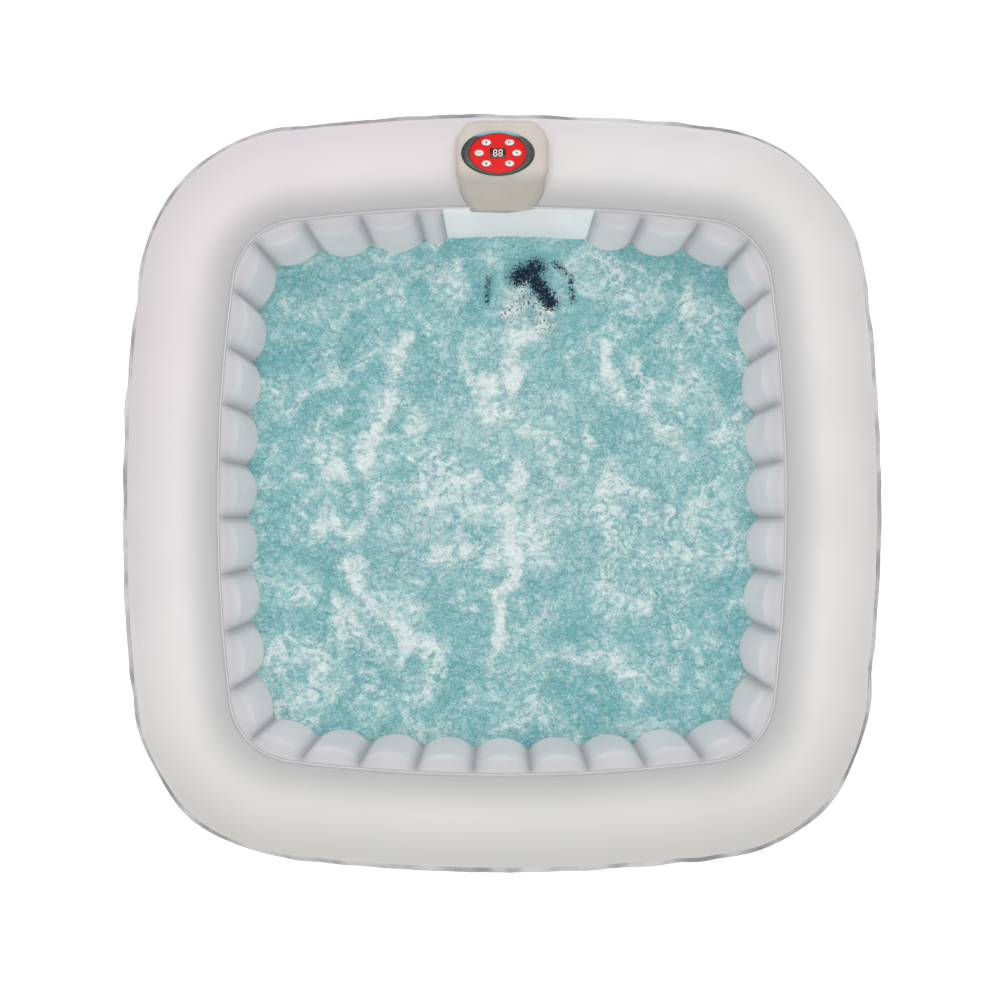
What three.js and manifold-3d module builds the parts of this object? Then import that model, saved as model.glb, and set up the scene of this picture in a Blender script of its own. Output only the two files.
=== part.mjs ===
// A square four-person inflatable hot tub with its heating, filter and bubble unit built into one wall.
// Millimetres, +Z up. The origin is on the ground under the tub's middle, and the unit is on the +Y side.
import * as THREE from "three";
import { ParametricGeometry } from "three/addons/geometries/ParametricGeometry.js";
import { ConvexGeometry } from "three/addons/geometries/ConvexGeometry.js";
import { mergeVertices } from "three/addons/utils/BufferGeometryUtils.js";
import Module from "manifold-3d";

const wasm = await Module();
wasm.setup();

// ---------------------------------------------------------------- driving dimensions
const HALF_WIDTH = 790; // from the middle to the outer weld seam
const CORNER_RADIUS = 350;
const SIDE_BOW = 0.127; // half the angle of each slightly bowed side, in radians
const GAP = 0.3; // clearance between pieces that touch
const SHEET = 1.2; // reinforced PVC sheet

const OUTER_SEAM_HEIGHT = 550;
const INNER_SEAM_HEIGHT = 585;
const INNER_SEAM_INSET = 207; // the rim roll's width
const RIM_RISE = 62; // how far the roll arches over the line between its seams
const WALL_INSET = 8; // outer wall at half height
const WALL_FOOT_INSET = 24;

const LOBES = 36; // vertical air columns round the inner wall
const LOBE_VALLEY = 8; // inset of the weld lines between columns, past the seam
const LOBE_RISE = 27; // how far a column bulges past its weld lines
const LOBE_STEPS = 4;
const PANEL_LEFT = -122; // the smooth stretch of inner wall in front of the unit
const PANEL_RIGHT = 190;

const HOUSING = { left: -112, right: 180, front: 588, back: 771.7, bottom: 40, top: 536 };
const HOUSING_WALL = 3;
const SERVICE_COVER_THICKNESS = 4;

const PANEL_TILT = 0.178; // slope of the control panel towards the bather
const CREASE = { y: 607, z: 670 }; // front edge of the control panel
const PANEL_MIDDLE = { x: -8, y: 648 };
const HEAD_UNDERSIDE = 589; // the head's front lip passes over the inner seam
const BEZEL_RADII = [71.5, 41.5];
const OVERLAY_RADII = [55.2, 36.4];
const BUTTON_RADII = [9, 5.5];
const BUTTON_RING = [36.5, 24.5]; // the six buttons stand on this oval
const DISPLAY_SIZE = [29.5, 18];

const FILTER = { x: 67, z: 240, radius: 50, coverRadius: 62, bore: 22.4 };
const NOZZLE = { x: -60, z: 320 };
const PUMP = { x: 67, z: 110, y: 650, radius: 52, length: 40 };
const HEATER = { x: 20, y: 700, bottom: 215, top: 385, radius: 30 };
const BLOWER = { x: 105, y: 685, bottom: 440, radius: 55, length: 52 };
const PIPE_RADIUS = 12;
const AIR_HOSE_RADIUS = 9;
const AIR_VALVE = { side: 1, columns: 3, z: 470 };
const DRAIN = { side: 2, columns: 2, z: 52 };
const AIR_PORT = { x: 150, z: 64 }; // where the bubble air passes through the wall panel

const SIDE_STEPS = 4;
const CORNER_STEPS = 6;
const FACETS = 16;
const PIPE_FACETS = 4; // per half turn
const PIPE_STEPS = 10;

// ---------------------------------------------------------------- materials
const finish = (color, roughness, metalness = 0) =>
  new THREE.MeshStandardMaterial({ color, roughness, metalness });
const vinyl = finish(0xdedcda, 0.42);
const lining = finish(0xbfc8ce, 0.4);
const seamVinyl = finish(0xeceae8, 0.35);
const housingPlastic = finish(0x6b6d70, 0.6);
const coverPlastic = finish(0xbeb6ac, 0.45);
const bezelPlastic = finish(0x46504b, 0.3);
const overlayRed = finish(0xe60808, 0.3);
const buttonWhite = finish(0xf2efec, 0.35);
const smokedWindow = finish(0x101012, 0.08);
const displayPlastic = finish(0x1b1b1d, 0.5);
const boardGreen = finish(0x1d5a34, 0.5);
const filterNavy = finish(0x14204a, 0.45);
const filterPaper = finish(0xe9edf2, 0.85);
const filterBlue = finish(0x1d5fbf, 0.45);
const pumpBlack = finish(0x202225, 0.55);
const steel = finish(0xb8bcc0, 0.3, 1);
const hoseGrey = finish(0x8d9296, 0.6);

// ---------------------------------------------------------------- solids and scene helpers
// A three.js geometry as a manifold solid.
function solid(geometry) {
  const bare = geometry.index ? geometry.toNonIndexed() : geometry.clone();
  bare.deleteAttribute("normal");
  bare.deleteAttribute("uv");
  const merged = mergeVertices(bare, 1e-4);
  return new wasm.Manifold(
    new wasm.Mesh({
      numProp: 3,
      vertProperties: new Float32Array(merged.attributes.position.array),
      triVerts: new Uint32Array(merged.index.array),
    }),
  );
}

// A manifold solid back as a three.js geometry.
function geometryOf(manifold) {
  const mesh = manifold.getMesh();
  const geometry = new THREE.BufferGeometry();
  geometry.setAttribute("position", new THREE.BufferAttribute(mesh.vertProperties, 3));
  geometry.setIndex(new THREE.BufferAttribute(mesh.triVerts, 1));
  geometry.computeVertexNormals();
  return geometry;
}

const cut = (body, ...tools) =>
  geometryOf(tools.reduce((left, tool) => left.subtract(solid(tool)), solid(body)));
const join = (...bodies) =>
  geometryOf(bodies.slice(1).reduce((sum, body) => sum.add(solid(body)), solid(bodies[0])));

const tub = new THREE.Group();
function add(name, geometry, material, parent = tub) {
  const mesh = new THREE.Mesh(geometry, material);
  mesh.name = name;
  parent.add(mesh);
}

// A box between two corners.
function block(left, right, front, back, bottom, top) {
  const box = new THREE.BoxGeometry(right - left, back - front, top - bottom);
  return box.translate((left + right) / 2, (front + back) / 2, (bottom + top) / 2);
}

// A round bar along Y, from one y to another.
function barY(radius, x, z, from, to, facets = FACETS) {
  const bar = new THREE.CylinderGeometry(radius, radius, to - from, facets);
  return bar.translate(x, (from + to) / 2, z);
}

// A round bar standing up, from one height to another.
function barZ(radius, x, y, from, to, facets = FACETS) {
  const bar = new THREE.CylinderGeometry(radius, radius, to - from, facets).rotateX(Math.PI / 2);
  return bar.translate(x, y, (from + to) / 2);
}

// A prism of a 2D shape between two heights.
function prism(shape, from, to, curveSegments = 6) {
  const options = { depth: to - from, bevelEnabled: false, curveSegments };
  return new THREE.ExtrudeGeometry(shape, options).translate(0, 0, from);
}

function oval([rx, ry], x = 0, y = 0) {
  return new THREE.Shape().absellipse(x, y, rx, ry, 0, 2 * Math.PI);
}

// An open-ended pipe through a few points.
function pipe(points, radius, wall = 2.5) {
  const section = new THREE.Shape().absarc(0, 0, radius, 0, 2 * Math.PI);
  section.holes.push(new THREE.Path().absarc(0, 0, radius - wall, 0, 2 * Math.PI));
  const route = new THREE.CatmullRomCurve3(points.map((p) => new THREE.Vector3(...p)));
  return new THREE.ExtrudeGeometry(section, {
    steps: PIPE_STEPS,
    extrudePath: route,
    curveSegments: PIPE_FACETS,
  });
}

// ---------------------------------------------------------------- the tub's plan
// Four slightly bowed sides and four round corners, each an arc that meets the next one smoothly.
const sideRadius =
  (HALF_WIDTH - CORNER_RADIUS * (Math.cos(SIDE_BOW) - Math.sin(SIDE_BOW))) /
  (1 - Math.cos(SIDE_BOW) + Math.sin(SIDE_BOW));
const cornerCentre = (sideRadius - CORNER_RADIUS) * Math.sin(SIDE_BOW);

const arcs = [];
for (let quarter = 0; quarter < 4; quarter++) {
  const turn = (quarter * Math.PI) / 2;
  const middle = new THREE.Vector2();
  const side = new THREE.Vector2(HALF_WIDTH - sideRadius, 0).rotateAround(middle, turn);
  const corner = new THREE.Vector2(cornerCentre, cornerCentre).rotateAround(middle, turn);
  const cornerSweep = Math.PI / 2 - 2 * SIDE_BOW;
  arcs.push({ centre: side, radius: sideRadius, from: turn - SIDE_BOW, sweep: 2 * SIDE_BOW });
  arcs.push({ centre: corner, radius: CORNER_RADIUS, from: turn + SIDE_BOW, sweep: cornerSweep });
}
for (const arc of arcs) arc.length = (arc.radius - INNER_SEAM_INSET) * arc.sweep;
const perimeter = arcs.reduce((sum, arc) => sum + arc.length, 0);
const sideMiddle = arcs[0].length / 2; // distance along the inner seam to the middle of the +X side
const pitch = perimeter / LOBES;

// The point a given distance along the inner seam, moved inwards or outwards to an inset from the tub's edge.
function planPoint(distance, inset) {
  let left = ((distance % perimeter) + perimeter) % perimeter;
  let index = 0;
  while (left > arcs[index].length && index < arcs.length - 1) {
    left -= arcs[index].length;
    index += 1;
  }
  const arc = arcs[index];
  const angle = arc.from + (left / arc.length) * arc.sweep;
  const reach = arc.radius - inset;
  return new THREE.Vector2(
    arc.centre.x + reach * Math.cos(angle),
    arc.centre.y + reach * Math.sin(angle),
  );
}

// Distances of the plan's facet corners: a few to a side and more to a round corner.
const stations = [];
arcs.reduce((start, arc) => {
  const steps = arc.radius === sideRadius ? SIDE_STEPS : CORNER_STEPS;
  for (let i = 0; i < steps; i++) stations.push(start + (arc.length * i) / steps);
  return start + arc.length;
}, 0);

// A surface closed both round the tub and round its own section; place gives each corner's point.
function closedSurface(columns, rows, place) {
  const surface = (u, v, target) => {
    const column = columns[Math.round(u * columns.length) % columns.length];
    const row = rows[Math.round(v * rows.length) % rows.length];
    target.copy(place(column, row));
  };
  return new ParametricGeometry(surface, columns.length, rows.length);
}

// Sweeps a closed section of [inset, height] corners once round the tub.
function ring(section) {
  return closedSurface(stations, section, (distance, [inset, height]) => {
    const p = planPoint(distance, inset);
    return new THREE.Vector3(p.x, p.y, height);
  });
}

// A ring of rectangular section.
const strip = (inset, width, bottom, top) =>
  ring([
    [inset, bottom],
    [inset, top],
    [inset + width, top],
    [inset + width, bottom],
  ]);

// The plan as a flat plate whose edge is at the given inset.
function plate(inset, bottom, top) {
  const corners = stations.map((distance) => planPoint(distance, inset));
  return prism(new THREE.Shape(corners), bottom, top);
}

// The distance along the inner seam of a point x on the +Y side.
function distanceOnUnitSide(x) {
  const reach = sideRadius - INNER_SEAM_INSET;
  return sideMiddle + perimeter / 4 - Math.asin(x / reach) * reach;
}

// The y of the plan on the +Y side, at x and at an inset.
const unitSideY = (x, inset) =>
  HALF_WIDTH - sideRadius + Math.sqrt((sideRadius - inset) ** 2 - x ** 2);

// A group on the outer wall whose +Y points straight out of the tub, a number of air columns along a side.
function wallFrame({ side, columns, z }) {
  const angle = (side * Math.PI) / 2 + (columns * pitch) / (sideRadius - INNER_SEAM_INSET);
  const p = planPoint(sideMiddle + (side * perimeter) / 4 + columns * pitch, WALL_INSET);
  const frame = new THREE.Group();
  frame.position.set(p.x, p.y, z);
  frame.rotation.z = angle - Math.PI / 2;
  frame.updateMatrixWorld(true);
  tub.add(frame);
  return frame;
}

// A round bar through the wall at a wall frame, for cutting holes in the sheets.
const boreIn = (frame, radius, from, to) =>
  barY(radius, 0, 0, from, to).applyMatrix4(frame.matrixWorld);

// ---------------------------------------------------------------- inflatable tub
const airValveFrame = wallFrame(AIR_VALVE);
const drainFrame = wallFrame(DRAIN);
const panelFrom = distanceOnUnitSide(PANEL_RIGHT);
const panelTo = distanceOnUnitSide(PANEL_LEFT);

// The weld lines between air columns, as distances along the inner seam.
const weldLines = [panelFrom, panelTo];
for (let k = 0; k < LOBES; k++) {
  const distance = (sideMiddle + (k + 0.5) * pitch) % perimeter;
  if (distance < panelFrom || distance > panelTo) weldLines.push(distance);
}
weldLines.sort((a, b) => a - b);

// The bulge of a column of the given width, at a share t of the way across it: a round arc.
function columnBulge(width, t) {
  const rise = (LOBE_RISE * width) / pitch;
  const radius = (width ** 2 / 4 + rise ** 2) / (2 * rise);
  const across = (t - 0.5) * width;
  return Math.sqrt(radius ** 2 - across ** 2) - (radius - rise);
}

const columnStations = weldLines.flatMap((start, i) => {
  const end = i + 1 < weldLines.length ? weldLines[i + 1] : weldLines[0] + perimeter;
  const isPanel = start === panelFrom;
  return Array.from({ length: LOBE_STEPS }, (_, step) => {
    const t = step / LOBE_STEPS;
    const bulge = isPanel ? 0 : columnBulge(end - start, t);
    return { distance: start + (end - start) * t, bulge };
  });
});

// A thin sheet closed round the tub and open at its top and bottom; place gives a point of either face.
// Both faces are split along the same diagonals, so they never cross where the sheet twists.
function closedSheet(columns, levels, place) {
  const corners = [];
  for (const back of [0, SHEET])
    for (const column of columns)
      for (const level of levels) corners.push(...place(column, level, back).toArray());
  const corner = (face, i, j) => (face * columns.length + (i % columns.length)) * levels.length + j;
  const index = [];
  const quad = (a, b, c, d) => index.push(a, b, c, a, c, d);
  const last = levels.length - 1;
  for (let i = 0; i < columns.length; i++) {
    for (let j = 0; j < last; j++) {
      quad(corner(0, i, j), corner(0, i, j + 1), corner(0, i + 1, j + 1), corner(0, i + 1, j));
      quad(corner(1, i, j), corner(1, i + 1, j), corner(1, i + 1, j + 1), corner(1, i, j + 1));
    }
    quad(corner(0, i, last), corner(1, i, last), corner(1, i + 1, last), corner(0, i + 1, last));
    quad(corner(0, i + 1, 0), corner(1, i + 1, 0), corner(1, i, 0), corner(0, i, 0));
  }
  const geometry = new THREE.BufferGeometry();
  geometry.setAttribute("position", new THREE.Float32BufferAttribute(corners, 3));
  geometry.setIndex(index);
  return geometry;
}

function innerWall() {
  // [height, share of the full bulge]: the columns round off under the seam and at the floor.
  const levels = [
    [7, 0.45],
    [40, 1],
    [INNER_SEAM_HEIGHT - 38, 1],
    [INNER_SEAM_HEIGHT - 2.7, 0],
  ];
  const wall = closedSheet(columnStations, levels, ({ distance, bulge }, [height, share], back) => {
    const p = planPoint(distance, INNER_SEAM_INSET + (LOBE_VALLEY + bulge) * share - back);
    return new THREE.Vector3(p.x, p.y, height);
  });
  const panelSpace = block(PANEL_LEFT - GAP, PANEL_RIGHT + GAP, 500, 650, 0, 700);
  return cut(wall, panelSpace, boreIn(drainFrame, 16.5, -260, -150));
}

function outerWall() {
  const line = [
    [WALL_FOOT_INSET, 3.6],
    [WALL_INSET + 4, 22],
    [WALL_INSET, 290],
    [WALL_INSET + 4, OUTER_SEAM_HEIGHT - GAP],
  ];
  const inside = line.map(([inset, height]) => [inset + SHEET, height]).reverse();
  const { left, right, bottom, top } = HOUSING;
  const window = block(left - 1, right + 1, 700, 850, bottom - 1, top + 1);
  return cut(
    ring([...line, ...inside]),
    window,
    boreIn(airValveFrame, 16.5, -40, 40),
    boreIn(drainFrame, 16.5, -40, 40),
  );
}

// The rim roll: an arc over the line between the two seams.
function rim(holes) {
  const outer = new THREE.Vector2(WALL_INSET + 4, OUTER_SEAM_HEIGHT + 3.3);
  const inner = new THREE.Vector2(INNER_SEAM_INSET, INNER_SEAM_HEIGHT + 1.4);
  const chord = inner.clone().sub(outer);
  const radius = (chord.lengthSq() / 4 + RIM_RISE ** 2) / (2 * RIM_RISE);
  const up = new THREE.Vector2(-chord.y, chord.x).normalize();
  const centre = outer.clone().add(inner).multiplyScalar(0.5).addScaledVector(up, RIM_RISE - radius);
  const from = outer.clone().sub(centre).angle();
  const to = inner.clone().sub(centre).angle();
  const steps = 6;
  const sweep = (r) =>
    Array.from({ length: steps + 1 }, (_, i) => {
      const angle = from + ((to - from) * i) / steps;
      return [centre.x + r * Math.cos(angle), centre.y + r * Math.sin(angle)];
    });
  return cut(ring([...sweep(radius), ...sweep(radius - SHEET).reverse()]), ...holes);
}

// Vertical webs from the weld lines to a band on the outer wall, which hold the wall flat.
function braceWebs() {
  const bottom = 45;
  const top = OUTER_SEAM_HEIGHT - 20;
  const band = strip(14, 3, bottom, top);
  const reach = INNER_SEAM_INSET + LOBE_VALLEY - SHEET - 1;
  const webs = weldLines
    .filter((distance) => distance < panelFrom - 1 || distance > panelTo + 1)
    .map((distance) => {
      const a = planPoint(distance, 15.7);
      const b = planPoint(distance, reach);
      const web = new THREE.BoxGeometry(a.distanceTo(b), SHEET, top - bottom - 2);
      web.rotateZ(a.clone().sub(b).angle());
      return web.translate((a.x + b.x) / 2, (a.y + b.y) / 2, (top + bottom) / 2);
    });
  const window = block(HOUSING.left - 2, HOUSING.right + 2, 580, 850, 20, 560);
  return cut(
    join(band, ...webs),
    window,
    boreIn(airValveFrame, 19, -60, 40),
    boreIn(drainFrame, 16.5, -40, 40),
  );
}

// The smooth panel of inner wall in front of the unit: a shallow arc between its two weld lines.
function wallPanel() {
  const left = new THREE.Vector2(PANEL_LEFT, unitSideY(PANEL_LEFT, INNER_SEAM_INSET + LOBE_VALLEY));
  const right = new THREE.Vector2(PANEL_RIGHT, unitSideY(PANEL_RIGHT, INNER_SEAM_INSET + LOBE_VALLEY));
  const middle = (PANEL_LEFT + PANEL_RIGHT) / 2;
  const line = new THREE.QuadraticBezierCurve(
    left,
    new THREE.Vector2(middle, unitSideY(middle, INNER_SEAM_INSET - LOBE_VALLEY)),
    right,
  ).getPoints(6);
  const behind = line.map((p) => new THREE.Vector2(p.x, p.y + SHEET)).reverse();
  const sheet = prism(new THREE.Shape([...line, ...behind]), 7, INNER_SEAM_HEIGHT - 2.7);
  return cut(
    sheet,
    barY(25.3, FILTER.x, FILTER.z, 540, 620),
    barY(16.3, NOZZLE.x, NOZZLE.z, 540, 620),
    barY(AIR_HOSE_RADIUS + 0.8, AIR_PORT.x, AIR_PORT.z, 500, 620),
  );
}

function bubbleChannel() {
  const inset = INNER_SEAM_INSET + LOBE_VALLEY + LOBE_RISE + 4;
  return strip(inset, 22, 7, 19);
}

function addTub(headHoles) {
  add("base_sheet", plate(WALL_FOOT_INSET + 2, 0, 1.5), vinyl);
  add("base_weld_seam", strip(18, 14, 1.8, 3.3), seamVinyl);
  add("floor_sheet", plate(INNER_SEAM_INSET - 4, 5, 6.5), lining);
  add("outer_wall", outerWall(), vinyl);
  add("outer_weld_seam", strip(0, 16, OUTER_SEAM_HEIGHT, OUTER_SEAM_HEIGHT + 2.4), seamVinyl);
  add("rim_roll", rim(headHoles), vinyl);
  add("inner_weld_seam", strip(203, 9, INNER_SEAM_HEIGHT - 2.4, INNER_SEAM_HEIGHT), seamVinyl);
  add("inner_wall", innerWall(), lining);
  add("inner_wall_panel", wallPanel(), lining);
  add("brace_webs", braceWebs(), vinyl);
  add("bubble_channel", bubbleChannel(), lining);
}

// ---------------------------------------------------------------- equipment unit
const panelZ = (y) => CREASE.z + (y - CREASE.y) * PANEL_TILT;

// The hull of a list of corners and their mirror images, drawn in by a distance on every side.
function mirroredHull(corners, inward) {
  const middleY = 655;
  const middleZ = (corners[0][2] + corners[corners.length - 1][2]) / 2;
  const points = corners.flatMap(([x, y, z]) => {
    const newY = y > middleY ? y - inward : y + inward;
    const newZ = z > middleZ ? z - inward : z + inward;
    return [1, -1].map((hand) => new THREE.Vector3(hand * (x - inward), newY, newZ));
  });
  return new ConvexGeometry(points);
}

// The control head's outer form: a body over the rim and the inner seam, and a neck down to the housing.
function headForm(inward, bottom) {
  const deck = [
    [90, CREASE.y],
    [92, 640],
    [92, 684],
    [62, 710],
  ].map(([x, y]) => [x, y, panelZ(y)]);
  const foot = [
    [88, 708, HEAD_UNDERSIDE + 11],
    [66, 734, HEAD_UNDERSIDE + 11],
    [84, 600, HEAD_UNDERSIDE],
    [60, 570, HEAD_UNDERSIDE],
  ];
  const neck = [
    [60, 592],
    [84, 640],
    [84, 690],
    [60, 725],
  ];
  const atHeight = (z) => neck.map(([x, y]) => [x, y, z]);
  return [
    mirroredHull([...deck, ...foot], inward),
    mirroredHull([...atHeight(HEAD_UNDERSIDE + 20), ...atHeight(bottom)], inward),
  ];
}

// A frame on the control panel: its middle, with +Z square to the tilted face.
const panelFrame = new THREE.Group();
panelFrame.position.set(PANEL_MIDDLE.x, PANEL_MIDDLE.y, panelZ(PANEL_MIDDLE.y));
panelFrame.rotation.x = Math.atan(PANEL_TILT);
panelFrame.updateMatrixWorld(true);
tub.add(panelFrame);

function controlHead() {
  const bottom = HOUSING.top + GAP;
  const opening = prism(oval([51.5, 32.7]), -20, 20, 12).applyMatrix4(panelFrame.matrixWorld);
  return cut(join(...headForm(0, bottom)), ...headForm(HOUSING_WALL, bottom - 5), opening);
}

function housing() {
  const { left, right, front, back, bottom, top } = HOUSING;
  const wall = HOUSING_WALL;
  const shell = cut(
    block(left, right, front, back, bottom, top),
    block(left + wall, right - wall, front + wall, back + 5, bottom + wall, top - wall),
    block(-45, 45, 640, 700, top - 10, top + 10),
  );
  const bosses = screwPlaces().map(([x, z]) => block(x - 7, x + 7, back - 20, back, z - 7, z + 7));
  return cut(
    join(shell, ...bosses),
    ...screwPlaces().map(([x, z]) => barY(2.6, x, z, back - 18, back + 5, 8)),
    barY(25.3, FILTER.x, FILTER.z, front - 5, front + 15),
    barY(16.3, NOZZLE.x, NOZZLE.z, front - 5, front + 15),
    barY(AIR_HOSE_RADIUS + 0.8, AIR_PORT.x, AIR_PORT.z, front - 5, front + 15),
  );
}

// The service cover's screws, one in each corner.
function screwPlaces() {
  const { left, right, bottom, top } = HOUSING;
  const edge = 9;
  return [left + edge, right - edge].flatMap((x) => [bottom + edge, top - edge].map((z) => [x, z]));
}

const coverBack = HOUSING.back + GAP + SERVICE_COVER_THICKNESS;
const GLAND = { x: -70, z: 110 };
const LOUVRES = 6;

function serviceCover() {
  const { left, right, back, bottom, top } = HOUSING;
  const sheet = block(left, right, back + GAP, coverBack, bottom, top);
  const louvres = Array.from({ length: LOUVRES }, (_, i) =>
    block(60, 150, back - 5, back + 15, 440 + i * 12, 446 + i * 12),
  );
  const holes = screwPlaces().map(([x, z]) => barY(2.6, x, z, back - 5, back + 15, 8));
  return cut(sheet, ...louvres, ...holes, barY(11, GLAND.x, GLAND.z, back - 5, back + 15));
}

function coverScrew([x, z]) {
  return join(
    barY(5, x, z, coverBack + GAP, coverBack + 3, 12),
    barY(2.3, x, z, HOUSING.back - 12, coverBack + 1, 8),
  );
}

// The gland that the mains lead would come out of, with its own open bore.
function cableGland() {
  const { x, z } = GLAND;
  const body = join(
    barY(15, x, z, coverBack + GAP, coverBack + 5, 6),
    barY(10.7, x, z, HOUSING.back - 12, coverBack + 12, 12),
  );
  return cut(body, barY(5, x, z, HOUSING.back - 20, coverBack + 20, 8));
}

function addPanel() {
  const holes = buttonPlaces().map(([, x, y]) => oval(BUTTON_RADII.map((r) => r + 0.4), x, y));
  const overlay = oval(OVERLAY_RADII);
  overlay.holes.push(...holes);
  const bezel = oval(BEZEL_RADII);
  bezel.holes.push(oval(OVERLAY_RADII.map((r) => r + 0.4)));
  const [width, depth] = DISPLAY_SIZE;
  const slot = block(-width / 2 - GAP, width / 2 + GAP, -depth / 2 - GAP, depth / 2 + GAP, -5, 10);
  add("panel_bezel", prism(bezel, 0.3, 4.6, 16), bezelPlastic, panelFrame);
  add("panel_overlay", cut(prism(overlay, 0.3, 3.2, 9), slot), overlayRed, panelFrame);
  const glass = block(-width / 2, width / 2, -depth / 2, depth / 2, 1.2, 3.6);
  add("display_window", glass, smokedWindow, panelFrame);
  add("display_module", block(-14, 14, -8.4, 8.4, -11.2, 0.9), displayPlastic, panelFrame);
  add("control_board", block(-48, 48, -30, 30, -13.2, -11.6), boardGreen, panelFrame);
  for (const [name, x, y] of buttonPlaces()) {
    add(name, prism(oval(BUTTON_RADII, x, y), -10, 4.8, 8), buttonWhite, panelFrame);
  }
}

// The six buttons by what they do, each with its place on the panel.
function buttonPlaces() {
  const angles = {
    button_heater: 128,
    button_filter: 180,
    button_lock: 232,
    button_bubbles: 52,
    button_warmer: 0,
    button_cooler: -52,
  };
  return Object.entries(angles).map(([name, degrees]) => {
    const angle = THREE.MathUtils.degToRad(degrees);
    return [name, BUTTON_RING[0] * Math.cos(angle), BUTTON_RING[1] * Math.sin(angle)];
  });
}

// ---------------------------------------------------------------- pump, heater and blower
function addPump() {
  const { x, z, y, radius, length } = PUMP;
  const back = y + length;
  const outletX = x - radius + 14;
  const casing = join(
    barY(radius, x, z, y, back),
    barZ(14, outletX, y + length / 2, z, z + 62, 12),
  );
  const hollow = [
    barY(radius - 6, x, z, y + 4, back - 4),
    barZ(10, outletX, y + length / 2, z + 5, z + 70, 12),
    barY(10, x, z, y - 5, y + 10, 12),
    barY(6, x, z, back - 10, back + 5, 12),
  ];
  add("pump_casing", cut(casing, ...hollow), pumpBlack);
  const impeller = join(
    barY(38, x, z, y + 24, y + 30),
    barY(16, x, z, y + 10, y + 25),
    barY(4.6, x, z, y + 20, back + 24, 10),
    ...impellerVanes(x, z, y + 12, y + 26),
  );
  add("pump_impeller", impeller, steel);
  const motor = barY(42, x, z, back + GAP, back + 72);
  add("pump_motor", cut(motor, barY(5.2, x, z, back - 5, back + 28, 12)), pumpBlack);
}

function impellerVanes(x, z, from, to) {
  return Array.from({ length: 6 }, (_, i) => {
    const vane = block(10, 36, from, to, -1.5, 1.5);
    return vane.rotateY((i * Math.PI) / 3).translate(x, 0, z);
  });
}

function addHeater() {
  const { x, y, bottom, top, radius } = HEATER;
  const shell = cut(
    barZ(radius, x, y, bottom, top),
    barZ(radius - 3, x, y, bottom + 4, top - 4),
    barZ(9.5, x, y, bottom - 5, bottom + 10, 12),
    barZ(9.5, x - 12, y, top - 10, top + 5, 12),
    barZ(5, x + 8, y, top - 10, top + 5, 8),
    barZ(3.4, x + 12, y + 16, top - 10, top + 5, 8),
  );
  add("heater_tube", shell, steel);
  const element = join(
    barZ(9, x + 5, y, bottom + 12, top - 25, 12),
    barZ(4.5, x + 8, y, top - 30, top + 14, 8),
  );
  add("heater_element", element, steel);
  add("temperature_probe", barZ(3, x + 12, y + 16, top - 40, top + 12, 8), steel);
}

function addBlower() {
  const { x, y, bottom, radius, length } = BLOWER;
  const top = bottom + length;
  const casing = cut(
    barZ(radius, x, y, bottom, top),
    barZ(radius - 4, x, y, bottom + 3, top - 3),
    barZ(18, x, y, bottom - 5, bottom + 10, 12),
    barZ(5, x, y, top - 10, top + 5, 10),
    barZ(7, 150, y, bottom - 5, bottom + 10, 10),
  );
  add("blower_casing", casing, pumpBlack);
  const blades = Array.from({ length: 8 }, (_, i) => {
    const blade = block(14, 44, -1.5, 1.5, bottom + 12, bottom + 30);
    return blade.rotateZ((i * Math.PI) / 4).translate(x, y, 0);
  });
  const fan = join(
    barZ(45, x, y, bottom + 29, bottom + 33),
    barZ(16, x, y, bottom + 12, bottom + 30, 12),
    barZ(3.6, x, y, bottom + 30, top + 14, 10),
    ...blades,
  );
  add("blower_fan", fan, displayPlastic);
  const motor = cut(barZ(28, x, y, top + GAP, top + 36), barZ(4.2, x, y, top - 5, top + 18, 10));
  add("blower_motor", motor, pumpBlack);
}

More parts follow.
